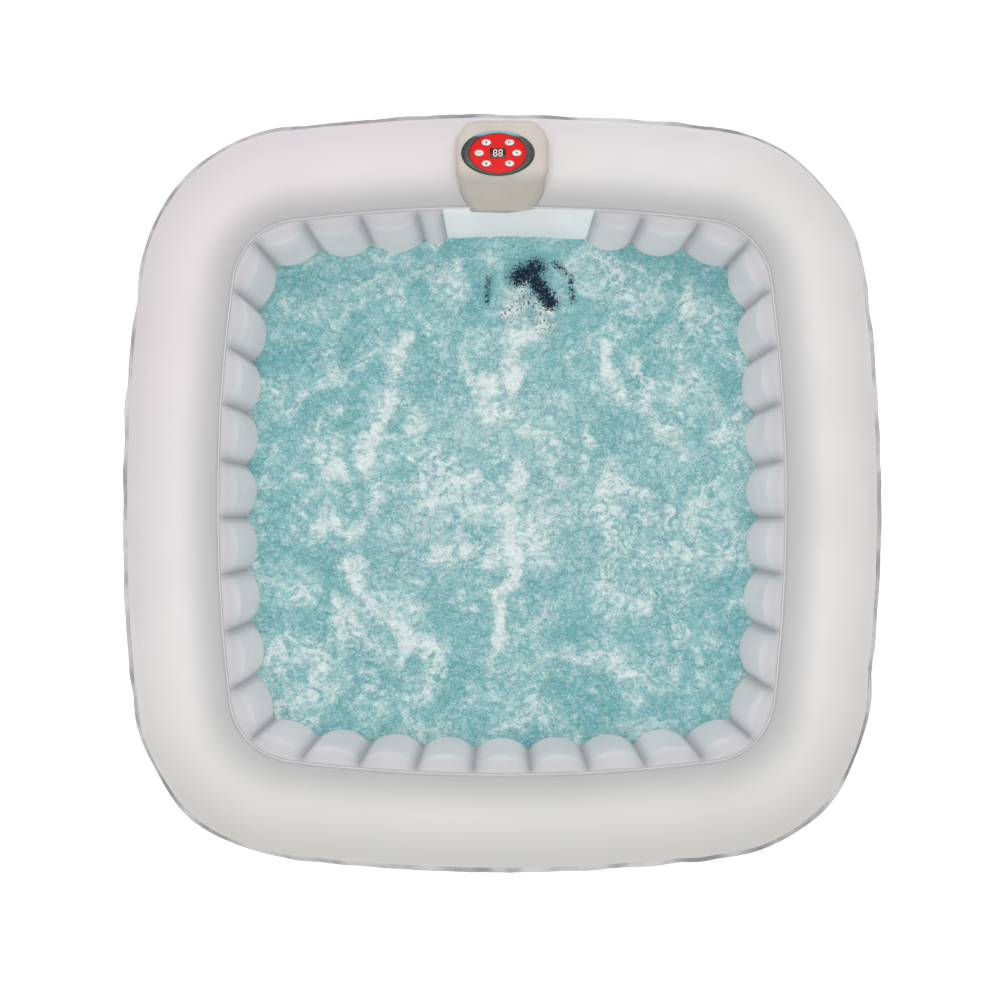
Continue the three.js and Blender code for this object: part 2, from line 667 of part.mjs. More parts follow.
function addPipes() {
  const pumpInlet = PUMP.y - 1;
  const outletX = PUMP.x - PUMP.radius + 14;
  const outletY = PUMP.y + PUMP.length / 2;
  const stubTop = PUMP.z + 62 + GAP;
  add(
    "suction_pipe",
    pipe(
      [
        [FILTER.x, 607, FILTER.z],
        [FILTER.x, 614, FILTER.z],
        [FILTER.x, 628, FILTER.z - 25],
        [FILTER.x, 626, PUMP.z + 28],
        [FILTER.x, pumpInlet - 9, PUMP.z],
        [FILTER.x, pumpInlet, PUMP.z],
      ],
      PIPE_RADIUS,
    ),
    hoseGrey,
  );
  add(
    "heater_feed_pipe",
    pipe(
      [
        [outletX, outletY, stubTop],
        [outletX, outletY, stubTop + 10],
        [HEATER.x, HEATER.y, HEATER.bottom - 14],
        [HEATER.x, HEATER.y, HEATER.bottom - GAP],
      ],
      PIPE_RADIUS,
    ),
    hoseGrey,
  );
  add(
    "return_pipe",
    pipe(
      [
        [HEATER.x - 12, HEATER.y, HEATER.top + GAP],
        [HEATER.x - 12, HEATER.y, HEATER.top + 20],
        [-40, 670, HEATER.top + 25],
        [NOZZLE.x, 640, 370],
        [NOZZLE.x, 616, NOZZLE.z],
        [NOZZLE.x, 607, NOZZLE.z],
      ],
      PIPE_RADIUS,
    ),
    hoseGrey,
  );
  const { x, z } = AIR_PORT;
  add(
    "bubble_air_hose",
    pipe(
      [
        [x, BLOWER.y, BLOWER.bottom - GAP],
        [x, BLOWER.y, BLOWER.bottom - 30],
        [x, BLOWER.y, 200],
        [x, 660, 100],
        [x, 610, z],
        [x, 598, z],
      ],
      AIR_HOSE_RADIUS,
    ),
    hoseGrey,
  );
  // The elbow takes the air through the wall panel and down to the bubble channel.
  const channelY = unitSideY(x, INNER_SEAM_INSET + LOBE_VALLEY + LOBE_RISE + 15);
  add(
    "bubble_elbow",
    pipe(
      [
        [x, 597, z],
        [x, 586, z],
        [x, 568, z],
        [x, 545, z - 8],
        [x, channelY, z - 30],
        [x, channelY, 20],
      ],
      AIR_HOSE_RADIUS,
    ),
    hoseGrey,
  );
}

function addElectrics() {
  const board = block(-100, 20, 744, 745.6, 420, 525);
  const transformer = block(-90, -45, 705, 744.5, 440, 480);
  const relay = block(-30, 5, 720, 744.5, 485, 515);
  add("power_board", join(board, transformer, relay), boardGreen);
  const { x, y } = HEATER;
  const saddle = cut(block(x - 40, x + 40, y, y + 40, 290, 310), barZ(HEATER.radius + GAP, x, y, 280, 320));
  add("heater_bracket", saddle, housingPlastic);
  const { bottom } = HOUSING;
  const cradle = block(PUMP.x - 40, PUMP.x + 40, PUMP.y + 50, PUMP.y + 100, bottom + 3.3, PUMP.z);
  const bed = barY(42.3, PUMP.x, PUMP.z, PUMP.y + 30, PUMP.y + 120);
  add("pump_cradle", cut(cradle, bed), housingPlastic);
}

// ---------------------------------------------------------------- wet fittings on the wall panel
function addFilter() {
  const { x, z, radius, coverRadius, bore } = FILTER;
  const face = unitSideY(x, INNER_SEAM_INSET + LOBE_VALLEY) - GAP;
  const base = cut(
    join(
      barY(68, x, z, face - 8, face),
      barY(bore - 0.4, x, z, face - 34, face - 7),
      barY(24.8, x, z, face - 1, 606),
    ),
    barY(17, x, z, face - 60, 640),
  );
  add("filter_base", base, filterNavy);
  const back = face - 8 - GAP;
  const media = cut(barY(radius - 2, x, z, back - 92, back - 12), barY(bore + 4, x, z, back - 120, back + 10));
  add("filter_cartridge", media, filterPaper);
  const ringCap = (from, to) => cut(barY(radius, x, z, from, to), barY(bore, x, z, from - 5, to + 5));
  add("filter_end_cap_back", ringCap(back - 11.7, back - 2), filterBlue);
  add("filter_end_cap_front", ringCap(back - 102, back - 92.3), filterBlue);
  const cup = cut(barY(coverRadius, x, z, back - 112, back), barY(coverRadius - 3, x, z, back - 108, back + 10));
  const slots = Array.from({ length: 4 }, (_, i) => {
    const slot = block(-6, 6, back - 95, back - 25, -coverRadius - 10, coverRadius + 10);
    return slot.rotateY((i * Math.PI) / 4).translate(x, 0, z);
  });
  add("filter_cover", cut(cup, ...slots), filterNavy);
  const ring = cut(barY(68, x, z, back - 14, back), barY(coverRadius + 2, x, z, back - 30, back + 10));
  add("filter_locking_ring", ring, filterNavy);
}

function addNozzle() {
  const { x, z } = NOZZLE;
  const face = unitSideY(x, INNER_SEAM_INSET + LOBE_VALLEY) - GAP;
  const body = join(barY(30, x, z, face - 6, face), barY(16, x, z, face - 14, 606));
  add("return_nozzle", cut(body, barY(11, x, z, face - 30, 640, 12)), filterNavy);
}

// ---------------------------------------------------------------- air valve and drain
function addAirValve() {
  const body = cut(
    join(barY(26, 0, 0, 0.6, 4), barY(16, 0, 0, -24, 3)),
    barY(11.5, 0, 0, -20, 10),
    barY(7, 0, 0, -30, 10, 12),
  );
  add("air_valve_body", body, coverPlastic, airValveFrame);
  const plunger = join(barY(11, 0, 0, -14, -9), barY(4, 0, 0, -12, 2, 12), barY(6, 0, 0, -22, -13, 12));
  add("air_valve_plunger", plunger, housingPlastic, airValveFrame);
  add("air_valve_cap", cut(barY(20, 0, 0, 4.3, 12), barY(15, 0, 0, 0, 9)), coverPlastic, airValveFrame);
}

function addDrain() {
  const inside = -(INNER_SEAM_INSET + LOBE_VALLEY + LOBE_RISE + 6 - WALL_INSET);
  const pipeBody = cut(
    join(barY(16, 0, 0, inside, 3), barY(24, 0, 0, 0.6, 4)),
    barY(12.5, 0, 0, inside - 10, 10),
  );
  add("drain_pipe", pipeBody, coverPlastic, drainFrame);
  const cap = join(barY(20, 0, 0, 4.3, 8), barY(12, 0, 0, -6, 5));
  add("drain_cap", cap, coverPlastic, drainFrame);
  const plug = join(barY(18, 0, 0, inside - 5, inside - GAP), barY(12, 0, 0, inside - 1, inside + 12));
  add("drain_plug", plug, coverPlastic, drainFrame);
}

addTub(headForm(-0.5, HOUSING.top - 5));
add("control_head", controlHead(), coverPlastic);
add("unit_housing", housing(), housingPlastic);
add("service_cover", serviceCover(), coverPlastic);
screwPlaces().forEach((place, i) => add(`service_screw_${i + 1}`, coverScrew(place), steel));
add("cable_gland", cableGland(), pumpBlack);
addPanel();
addPump();
addHeater();
addBlower();
addPipes();
addElectrics();
addFilter();
addNozzle();
addAirValve();
addDrain();

export default tub;
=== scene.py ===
# %% [markdown]
# # A square inflatable hot tub
# The tub is two skins of vinyl, welded along seams and blown up hard. One wall holds the machinery, and a
# moulded head with the control panel stands on it. The frame from the CAD gives every size and place, and
# this script adds what the eye sees: full air columns, soft creases, moulded plastic and foaming water.

# %% Load the frame
import math
import bmesh
import bpy
import numpy as np
from mathutils import Matrix, Vector


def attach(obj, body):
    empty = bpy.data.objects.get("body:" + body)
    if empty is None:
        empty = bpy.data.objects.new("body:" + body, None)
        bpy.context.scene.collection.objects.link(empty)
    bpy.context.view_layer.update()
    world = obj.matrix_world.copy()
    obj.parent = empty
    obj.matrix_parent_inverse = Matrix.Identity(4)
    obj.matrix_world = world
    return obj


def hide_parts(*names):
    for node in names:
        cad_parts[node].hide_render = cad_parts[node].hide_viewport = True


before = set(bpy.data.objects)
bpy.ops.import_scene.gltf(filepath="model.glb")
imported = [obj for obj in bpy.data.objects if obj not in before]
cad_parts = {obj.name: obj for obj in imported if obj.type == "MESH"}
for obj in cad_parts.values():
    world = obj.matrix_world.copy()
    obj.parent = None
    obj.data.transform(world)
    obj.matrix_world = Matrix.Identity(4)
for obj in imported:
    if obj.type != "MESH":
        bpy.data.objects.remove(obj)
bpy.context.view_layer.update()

# %% [markdown]
# ## The tub's plan
# Seen from above the tub is a square with four slightly bowed sides and four round corners. Drawing that by
# hand as a spline would never meet the CAD exactly. Eight arcs that meet smoothly do, and any skin of the tub
# is then a distance along the plan, an inset from the edge and a height.

# %% Eight arcs, and a point anywhere on them
HALF = 0.790
CORNER = 0.350
BOW = 0.127
SEAM_INSET = 0.207
SHEET = 0.0012
MM = 0.001
TO_MM = 1000
side_radius = (HALF - CORNER * (math.cos(BOW) - math.sin(BOW))) / (1 - math.cos(BOW) + math.sin(BOW))
corner_centre = (side_radius - CORNER) * math.sin(BOW)
arcs = []
for quarter in range(4):
    turn = quarter * math.pi / 2
    spin = Matrix.Rotation(turn, 2)
    arcs.append((*(spin @ Vector((HALF - side_radius, 0))), side_radius, turn - BOW, 2 * BOW))
    corner = spin @ Vector((corner_centre, corner_centre))
    arcs.append((*corner, CORNER, turn + BOW, math.pi / 2 - 2 * BOW))
arcs = np.array(arcs)
arc_length = (arcs[:, 2] - SEAM_INSET) * arcs[:, 4]
arc_end = np.cumsum(arc_length)
perimeter = arc_end[-1]
side_middle = arc_length[0] / 2


def plan(distance, inset):
    """x and y at a distance along the inner seam, moved to an inset from the tub's edge."""
    distance = np.mod(distance, perimeter)
    i = np.minimum(np.searchsorted(arc_end, distance, side="right"), 7)
    along = (distance - (arc_end - arc_length)[i]) / arc_length[i]
    angle = arcs[i, 3] + along * arcs[i, 4]
    reach = arcs[i, 2] - inset
    return arcs[i, 0] + reach * np.cos(angle), arcs[i, 1] + reach * np.sin(angle)


def apart(first, second):
    """The shorter way round the tub between two distances."""
    return np.abs((first - second + perimeter / 2) % perimeter - perimeter / 2)


def unit_side_y(x, inset):
    """y of the plan on the side that holds the machinery."""
    return HALF - side_radius + np.sqrt((side_radius - inset) ** 2 - np.square(x))


def distance_at(x):
    """Distance along the inner seam of a point x on the machinery's side."""
    reach = side_radius - SEAM_INSET
    return side_middle + perimeter / 4 - math.asin(x / reach) * reach


print("inner seam", round(perimeter, 3), "m")

# %% [markdown]
# ## Camera, floor and light
# The tub is looked at from almost straight above. The background is a plain pale floor. A big soft light
# overhead makes the rim brightest along its crown, a weaker one beyond the far side lights what faces away
# from it, and a pale world fills in the rest, so nothing is lost in shadow. A hard lamp would draw sharp
# shadows that inflated vinyl in a bright studio doesn't show.

# %% Set the studio
LENS = 28.8
CAMERA_PLACE = (-0.004, -0.06, 2.215)
CAMERA_TILT = 0.0227
TUB_MIDDLE = Vector((0, 0, 0.4))
WORLD_STRENGTH = 0.55
camera = bpy.data.objects.new("camera", bpy.data.cameras.new("camera"))
camera.data.lens = LENS
camera.data.clip_end = 50
camera.location = CAMERA_PLACE
camera.rotation_euler = (CAMERA_TILT, 0, 0)
bpy.context.collection.objects.link(camera)
bpy.context.scene.camera = camera
bpy.context.scene.view_settings.view_transform = "Standard"


def soft_light(name, place, size, power):
    """A square soft light that faces the tub's middle."""
    lamp = bpy.data.objects.new(name, bpy.data.lights.new(name, "AREA"))
    lamp.data.size = size
    lamp.data.energy = power
    lamp.location = place
    lamp.rotation_euler = (TUB_MIDDLE - Vector(place)).to_track_quat("-Z", "Y").to_euler()
    bpy.context.collection.objects.link(lamp)


soft_light("overhead", (-0.1, -0.35, 3.3), 2.2, 33)
soft_light("far_side", (0.2, 2.2, 2.8), 1.8, 12)
world = bpy.data.worlds.new("studio")
world.use_nodes = True
world.node_tree.nodes["Background"].inputs["Color"].default_value = (1, 1, 1, 1)
world.node_tree.nodes["Background"].inputs["Strength"].default_value = WORLD_STRENGTH
bpy.context.scene.world = world

# %% [markdown]
# ## Tools for meshes and nodes
# Nearly every skin is a grid of points that runs round the tub. Nearly every fitting is a profile turned
# round an axis. Short helpers make those, and another lets modifiers finish a piece and then keeps the
# result as a plain mesh. Nodes are placed with one helper, which takes a number or a wire for each socket.

# %% Make, settle and place a piece
SHARP = math.radians(38)
BEVEL_FROM = math.radians(40)


def as_object(name, mesh, material):
    """A mesh as an object with smooth faces and sharp edges kept."""
    mesh.materials.clear()
    mesh.materials.append(material)
    mesh.shade_smooth()
    mesh.set_sharp_from_angle(angle=SHARP)
    piece = bpy.data.objects.new(name, mesh)
    bpy.context.collection.objects.link(piece)
    return piece


def mesh_of(name, points, faces):
    """A closed mesh with its faces pointing out."""
    mesh = bpy.data.meshes.new(name)
    mesh.from_pydata(np.asarray(points).reshape(-1, 3).tolist(), [], faces)
    point_out(mesh)
    return mesh


def point_out(mesh):
    """Merges doubles and turns every face outwards."""
    work = bmesh.new()
    work.from_mesh(mesh)
    bmesh.ops.remove_doubles(work, verts=work.verts, dist=1e-6)
    bmesh.ops.recalc_face_normals(work, faces=work.faces)
    work.to_mesh(mesh)
    work.free()


def settle(piece):
    """Applies a piece's modifiers, so that it is a plain mesh."""
    graph = bpy.context.evaluated_depsgraph_get()
    done = bpy.data.meshes.new_from_object(piece.evaluated_get(graph))
    piece.modifiers.clear()
    piece.data = done
    return piece


def cut(piece, *cutters, operation="DIFFERENCE"):
    """Takes the cutters' shapes out of a piece, or adds them to it."""
    for cutter in cutters:
        step = piece.modifiers.new("cut", "BOOLEAN")
        step.object = cutter
        step.operation = operation
        step.solver = "EXACT"
    settle(piece)
    for cutter in cutters:
        bpy.data.objects.remove(cutter)
    piece.data.set_sharp_from_angle(angle=SHARP)
    return piece


def rounded(piece, width):
    """Rounds a piece's sharp edges, as a mould does."""
    step = piece.modifiers.new("round", "BEVEL")
    step.width = width
    step.segments = 2
    step.limit_method = "ANGLE"
    step.angle_limit = BEVEL_FROM
    settle(piece)
    piece.data.shade_smooth()
    piece.data.set_sharp_from_angle(angle=SHARP)
    return piece


def keep(piece, body, slot, *nodes):
    """Hangs a finished piece on its body, in place of its CAD nodes."""
    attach(piece, body)
    if nodes:
        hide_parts(*nodes)
    print(piece.name, len(piece.data.polygons), "faces on", body)
    return piece


# %% Sweep, turn and box
SWEEP_STEPS = 720


def grid_quads(columns, rows):
    """The four corner numbers of every face of a grid that joins up both ways."""
    index = np.arange(columns * rows).reshape(columns, rows)
    beside = np.roll(index, -1, 0)
    return np.stack([index, beside, np.roll(beside, -1, 1), np.roll(index, -1, 1)], -1)


def sweep_faces(columns, rows, closed_rows=True):
    """Faces of a grid that joins up round the tub, and round its section too where that is closed."""
    quads = grid_quads(columns, rows)
    return (quads if closed_rows else quads[:, :-1]).reshape(-1, 4).tolist()


def sweep(name, section, material, waviness=0.0):
    """A closed section of (inset, height) corners swept once round the tub; its edge may wander a little."""
    distance = np.arange(SWEEP_STEPS) / SWEEP_STEPS * perimeter
    section = np.array(section)
    inset = section[None, :, 0] + waviness * drift(distance, 60, 11)[:, None]
    x, y = plan(distance[:, None] + 0 * inset, inset)
    lift = waviness * 0.6 * drift(distance, 80, 12)[:, None]
    grid = np.stack([x, y, section[None, :, 1] + lift + 0 * x], -1)
    return as_object(name, mesh_of(name, grid, sweep_faces(SWEEP_STEPS, len(section))), material)


def drift(distance, waves, seed):
    """A smooth wandering between about -1 and 1 that closes round the tub."""
    chance = np.random.default_rng(seed)
    total = np.zeros_like(distance)
    for k in chance.integers(3, waves, 14):
        strength = 1 / math.sqrt(1 + k / 12)
        total += strength * np.sin(2 * np.pi * k * distance / perimeter + chance.uniform(0, 2 * np.pi))
    return total / 4


def turned(name, profile, material, place=Matrix(), steps=64, ratio=1.0):
    """A profile of (radius, along) in millimetres turned round the local Y axis.

    The ratio squashes it to an oval.
    """
    angles = np.arange(steps) / steps * 2 * np.pi
    solid = profile[0][0] == 0
    ring = [(r, a) for r, a in profile if r > 0]
    points = [(r * math.cos(t), a, r * ratio * math.sin(t)) for t in angles for r, a in ring]
    faces = sweep_faces(steps, len(ring), closed_rows=not solid)
    if solid:
        for end, row in ((profile[0], 0), (profile[-1], len(ring) - 1)):
            points.append((0, end[1], 0))
            tip = len(points) - 1
            faces += [(tip, i * len(ring) + row, (i + 1) % steps * len(ring) + row) for i in range(steps)]
    mesh = mesh_of(name, np.array(points) * MM, faces)
    mesh.transform(place)
    return as_object(name, mesh, material)


def bore(name, radius, low, high, material, place):
    """A round cutter along the local Y axis, in millimetres."""
    return turned(name, [(0, low), (radius, low), (radius, high), (0, high)], material, place)


def box_piece(name, low, high, material, place=Matrix()):
    """A box between two corners in millimetres."""
    mesh = bpy.data.meshes.new(name)
    work = bmesh.new()
    bmesh.ops.create_cube(work, size=1)
    for corner in work.verts:
        corner.co = [lo + (hi - lo) * (c + 0.5) for lo, hi, c in zip(low, high, corner.co)]
        corner.co *= MM
    work.to_mesh(mesh)
    work.free()
    mesh.transform(place)
    return as_object(name, mesh, material)


def joined(name, pieces):
    """Several plain meshes as one piece, under a new name."""
    work = bmesh.new()
    first = pieces[0]
    materials = []
    for piece in pieces:
        shift = []
        for material in piece.data.materials:
            if material not in materials:
                materials.append(material)
            shift.append(materials.index(material))
        for face in piece.data.polygons:
            face.material_index = shift[face.material_index]
        work.from_mesh(piece.data)
    first.data.materials.clear()
    for material in materials:
        first.data.materials.append(material)
    work.to_mesh(first.data)
    work.free()
    for piece in pieces[1:]:
        bpy.data.objects.remove(piece)
    first.name = name
    return first


# %% Nodes
def put(tree, kind, inputs=None, **settings):
    """A node with its sockets filled by numbers or wired to other nodes."""
    node = tree.nodes.new(kind)
    for key, value in settings.items():
        setattr(node, key, value)
    for key, value in (inputs or {}).items():
        if isinstance(value, bpy.types.NodeSocket):
            tree.links.new(value, node.inputs[key])
        else:
            node.inputs[key].default_value = value
    return node


def maths(tree, operation, a, b=0.0, clamp=False):
    """One sum on values."""
    node = put(tree, "ShaderNodeMath", {0: a, 1: b}, operation=operation)
    node.use_clamp = clamp
    return node.outputs[0]


def mixed(tree, amount, first, second):
    """Two colours mixed by an amount."""
    node = put(tree, "ShaderNodeMix", data_type="RGBA")
    for index, value in ((0, amount), (6, first), (7, second)):
        if isinstance(value, bpy.types.NodeSocket):
            tree.links.new(value, node.inputs[index])
        else:
            node.inputs[index].default_value = value if index == 0 else (*value[:3], 1)
    return node.outputs[2]


def object_place(tree):
    """Where a point is on the piece."""
    return put(tree, "ShaderNodeTexCoord").outputs["Object"]


def object_axes(tree):
    """The three coordinates of where a point is on the piece."""
    return put(tree, "ShaderNodeSeparateXYZ", {0: object_place(tree)}).outputs


def sheet_axes(tree):
    """How far a point is along a sheet and across it, in metres."""
    sheet_map = put(tree, "ShaderNodeUVMap", uv_map="sheet").outputs[0]
    return put(tree, "ShaderNodeSeparateXYZ", {0: sheet_map}).outputs


def faded(tree, value, low, high, to_low=0.0, to_high=1.0):
    """A value stretched smoothly from one range to another."""
    inputs = {"Value": value, "From Min": low, "From Max": high, "To Min": to_low, "To Max": to_high}
    return put(tree, "ShaderNodeMapRange", inputs, interpolation_type="SMOOTHSTEP").outputs[0]


def noise(tree, scale, detail, at=None, distortion=0.0, roughness=0.5):
    """A cloudy value on the object's own coordinates."""
    inputs = {"Vector": at or object_place(tree), "Scale": scale, "Detail": detail,
              "Distortion": distortion, "Roughness": roughness}
    return put(tree, "ShaderNodeTexNoise", inputs).outputs["Fac"]


print("helpers ready")

# %% [markdown]
# ## Finishes
# No two square centimetres of real vinyl or moulded plastic look the same: the colour drifts, the gloss
# drifts and there is a fine grain. A picture wrapped on the piece could show that, but it would blur up
# close. One node group makes it by rule at any distance, and each finish places the group with its own sizes.

# %% The grain that every finish shares
def group_sockets(tree, inputs, outputs):
    """Names a group's sockets: numbers where the default is a number, colours where it is three."""
    for label, value in inputs.items():
        kind = "NodeSocketColor" if isinstance(value, tuple) else "NodeSocketFloat"
        socket = tree.interface.new_socket(label, in_out="INPUT", socket_type=kind)
        socket.default_value = (*value, 1) if isinstance(value, tuple) else value
    for label, kind in outputs.items():
        tree.interface.new_socket(label, in_out="OUTPUT", socket_type=kind)
    return put(tree, "NodeGroupInput").outputs, put(tree, "NodeGroupOutput").inputs


grain = bpy.data.node_groups.new("material_grain", "ShaderNodeTree")
given, out = group_sockets(
    grain,
    {"Base": (0.8, 0.8, 0.8), "Drift": (0.7, 0.7, 0.7), "Cloud Size": 0.15, "Grain Size": 0.0012,
     "Roughness": 0.4, "Roughness Range": 0.1},
    {"Color": "NodeSocketColor", "Roughness": "NodeSocketFloat", "Height": "NodeSocketFloat"},
)
clouds = noise(grain, maths(grain, "DIVIDE", 1.0, given["Cloud Size"]), 4)
grains = noise(grain, maths(grain, "DIVIDE", 1.0, given["Grain Size"]), 2)
cloudy = faded(grain, clouds, 0.34, 0.68)
grain.links.new(mixed(grain, cloudy, given["Base"], given["Drift"]), out["Color"])
swing = maths(grain, "MULTIPLY", maths(grain, "SUBTRACT", clouds, 0.5), given["Roughness Range"])
gloss = maths(grain, "ADD", given["Roughness"], maths(grain, "MULTIPLY", swing, 2.0))
grain.links.new(maths(grain, "ADD", gloss, 0.0, clamp=True), out["Roughness"])
grain.links.new(grains, out["Height"])

# %% Thread: the cloth inside reinforced vinyl
thread = bpy.data.node_groups.new("reinforcing_thread", "ShaderNodeTree")
given, out = group_sockets(thread, {"Pitch": 0.0016}, {"Height": "NodeSocketFloat"})
split = sheet_axes(thread)
turns = maths(thread, "DIVIDE", 2 * math.pi, given["Pitch"])
waves = [maths(thread, "SINE", maths(thread, "MULTIPLY", split[axis], turns)) for axis in (0, 1)]
thread.links.new(maths(thread, "MULTIPLY", waves[0], waves[1]), out["Height"])


# %% Build a finish
def finish(name, base, drifts, rough, cloud, size=0.0012, depth=0.00004, swing=0.12, **shader):
    """A material from the shared grain; other names go straight to the shader's own sockets."""
    material = bpy.data.materials.new(name)
    material.use_nodes = True
    tree = material.node_tree
    body = tree.nodes["Principled BSDF"]
    surface = put(tree, "ShaderNodeGroup", node_tree=grain)
    for label, value in {"Base": (*base, 1), "Drift": (*drifts, 1), "Cloud Size": cloud,
                         "Grain Size": size, "Roughness": rough, "Roughness Range": swing}.items():
        surface.inputs[label].default_value = value
    bump = put(tree, "ShaderNodeBump", {"Height": surface.outputs["Height"], "Distance": depth})
    tree.links.new(surface.outputs["Color"], body.inputs["Base Color"])
    tree.links.new(surface.outputs["Roughness"], body.inputs["Roughness"])
    tree.links.new(bump.outputs[0], body.inputs["Normal"])
    for label, value in shader.items():
        body.inputs[label.replace("_", " ")].default_value = value
    return material


def parts_of(material):
    """The tree of a finish, with its shader, its grain and its bump."""
    tree = material.node_tree
    kinds = {node.bl_idname: node for node in tree.nodes}
    return tree, kinds["ShaderNodeBsdfPrincipled"], kinds["ShaderNodeGroup"], kinds["ShaderNodeBump"]


def recolour(material, make):
    """Puts a change between a finish's grain colour and its shader."""
    tree, body, surface, _ = parts_of(material)
    tree.links.new(make(tree, surface.outputs["Color"]), body.inputs["Base Color"])


def glow(material, strength):
    """Lets a finish give off some of its own colour: lit digits really do; on the lining vinyl it is painted
    light, and it keeps the floor evenly bright.
    """
    tree, body, surface, _ = parts_of(material)
    tree.links.new(surface.outputs["Color"], body.inputs["Emission Color"])
    body.inputs["Emission Strength"].default_value = strength


def add_height(material, make, share):
    """Adds a second height to a finish's bump."""
    tree, _, surface, bump = parts_of(material)
    extra = maths(tree, "MULTIPLY", make(tree), share)
    tree.links.new(maths(tree, "ADD", surface.outputs["Height"], extra), bump.inputs["Height"])


# %% [markdown]
# ## Vinyl
# The rim and the outer wall are white vinyl. A painted cast of the room's light makes it faintly pink towards
# one far corner and warm grey along the near side. The lining inside the tub is a cooler grey. It and the
# water give off a little of their own colour, a painted glow that lifts them out of the tub's shade. All the
# vinyl is cloth-reinforced, so a fine weave shows through up close.

# %% White vinyl, lining and welds
FAR_PINK_CAST = (0.80, 0.735, 0.775)
NEAR_GREY_CAST = (0.66, 0.655, 0.625)
SEAM_SHADE_GREY = (0.50, 0.495, 0.50)
TOP_SHADE_GREY = (0.43, 0.43, 0.45)
CREASE_SHADE_GREY = (0.27, 0.27, 0.29)
STRIP_SHADE_GREY = (0.42, 0.42, 0.43)


def painted_room_cast(tree, colour):
    """A painted cast of the room's light: pinkish towards -X +Y, warm grey towards -Y."""
    axis = object_axes(tree)
    far = maths(tree, "SUBTRACT", axis[1], maths(tree, "MULTIPLY", axis[0], 0.8))
    pink_cast = mixed(tree, faded(tree, far, 0.1, 1.3, 0, 0.75), colour, FAR_PINK_CAST)
    return mixed(tree, faded(tree, axis[1], -0.35, -0.8, 0, 0.8), pink_cast, NEAR_GREY_CAST)


def weave(tree):
    """The reinforcing thread's height."""
    return put(tree, "ShaderNodeGroup", node_tree=thread).outputs["Height"]


vinyl, rim_vinyl = (
    finish(name, (0.79, 0.775, 0.77), (0.75, 0.74, 0.735), 0.46, 0.22, 0.0022, 0.00005,
           Specular_IOR_Level=0.3)
    for name in ("white_vinyl", "rim_vinyl")
)


def painted_rim_cast_and_shade(tree, colour):
    """The painted cast of the room's light, and a band of painted shade where the rim dips to its inner seam.
    """
    seam_shade_band = faded(tree, sheet_axes(tree)[1], 0.165, 0.238, 0, 0.58)
    return mixed(tree, seam_shade_band, painted_room_cast(tree, colour), SEAM_SHADE_GREY)


# The white vinyl carries a painted cast of the room's light.
recolour(vinyl, painted_room_cast)
recolour(rim_vinyl, painted_rim_cast_and_shade)
for sheet in (vinyl, rim_vinyl):
    add_height(sheet, weave, 0.25)
lining = finish("lining_vinyl", (0.79, 0.755, 0.765), (0.73, 0.70, 0.715), 0.52, 0.12, 0.002, 0.00005,
                Specular_IOR_Level=0.25)
# Painted light: a little glow lifts the lining out of the tub's shade.
glow(lining, 0.16)


def painted_seam_and_crease_shade(tree, colour):
    """Painted shade: the lining greys towards the seam above it and in the creases along its welds."""
    height = object_axes(tree)[2]
    crease = put(tree, "ShaderNodeAttribute", attribute_name="crease").outputs["Fac"]
    top_shaded = mixed(tree, faded(tree, height, 0.552, 0.580, 0, 0.8), colour, TOP_SHADE_GREY)
    return mixed(tree, maths(tree, "MULTIPLY", crease, 0.75), top_shaded, CREASE_SHADE_GREY)


recolour(lining, painted_seam_and_crease_shade)
add_height(lining, weave, 0.25)
# A lighter copy of the lining with a stronger glow: painted light on the panel, which lies in the head's
# shade.
panel_lining = finish("panel_lining", (0.84, 0.835, 0.835), (0.79, 0.785, 0.79), 0.5, 0.12, 0.002, 0.00005,
                      Specular_IOR_Level=0.25)
glow(panel_lining, 0.27)
add_height(panel_lining, weave, 0.25)
weld = finish("weld_vinyl", (0.82, 0.81, 0.80), (0.74, 0.73, 0.725), 0.3, 0.05, 0.0016, 0.0001)
# The outer seam's dark patches are painted shade along its edge under the rim's roll.
shaded_outer_weld = finish("outer_weld_vinyl", (0.74, 0.725, 0.73), (0.34, 0.31, 0.34), 0.4, 0.10, 0.0016, 0.0001)


def painted_strip_shade(tree, colour):
    """Painted shade in the strip sunk between a weld's two beads: the strip is greyer and the beads stay
    bright.
    """
    from_middle = maths(tree, "ABSOLUTE", maths(tree, "SUBTRACT", sheet_axes(tree)[1], 0.0042))
    return mixed(tree, faded(tree, from_middle, 0.0030, 0.0020, 0, 0.85), colour, STRIP_SHADE_GREY)


recolour(weld, painted_strip_shade)
for seam in (weld, shaded_outer_weld):
    add_height(seam, weave, 1.0)

# %% [markdown]
# ## Plastics, rubber and metal
# Moulded plastic has the fine sparkle of an etched mould, the pump parts are black and duller, and the heater
# is brushed steel. Each is the same grain at its own size, which keeps the finishes of one maker together.

# %% Plastics and metals
cover = finish("warm_grey_plastic", (0.66, 0.60, 0.535), (0.62, 0.56, 0.495), 0.46, 0.05, 0.0009, 0.00007)
housing = finish("housing_plastic", (0.15, 0.155, 0.165), (0.19, 0.195, 0.2), 0.58, 0.08, 0.0011, 0.0001)


def painted_sky_reflection(tree, colour):
    """A painted reflection of the sky: the ring's far edge is tinted a pale teal."""
    far = faded(tree, object_axes(tree)[1], 0.6745, 0.682, 0, 0.85)
    return mixed(tree, far, colour, (0.20, 0.62, 0.70))


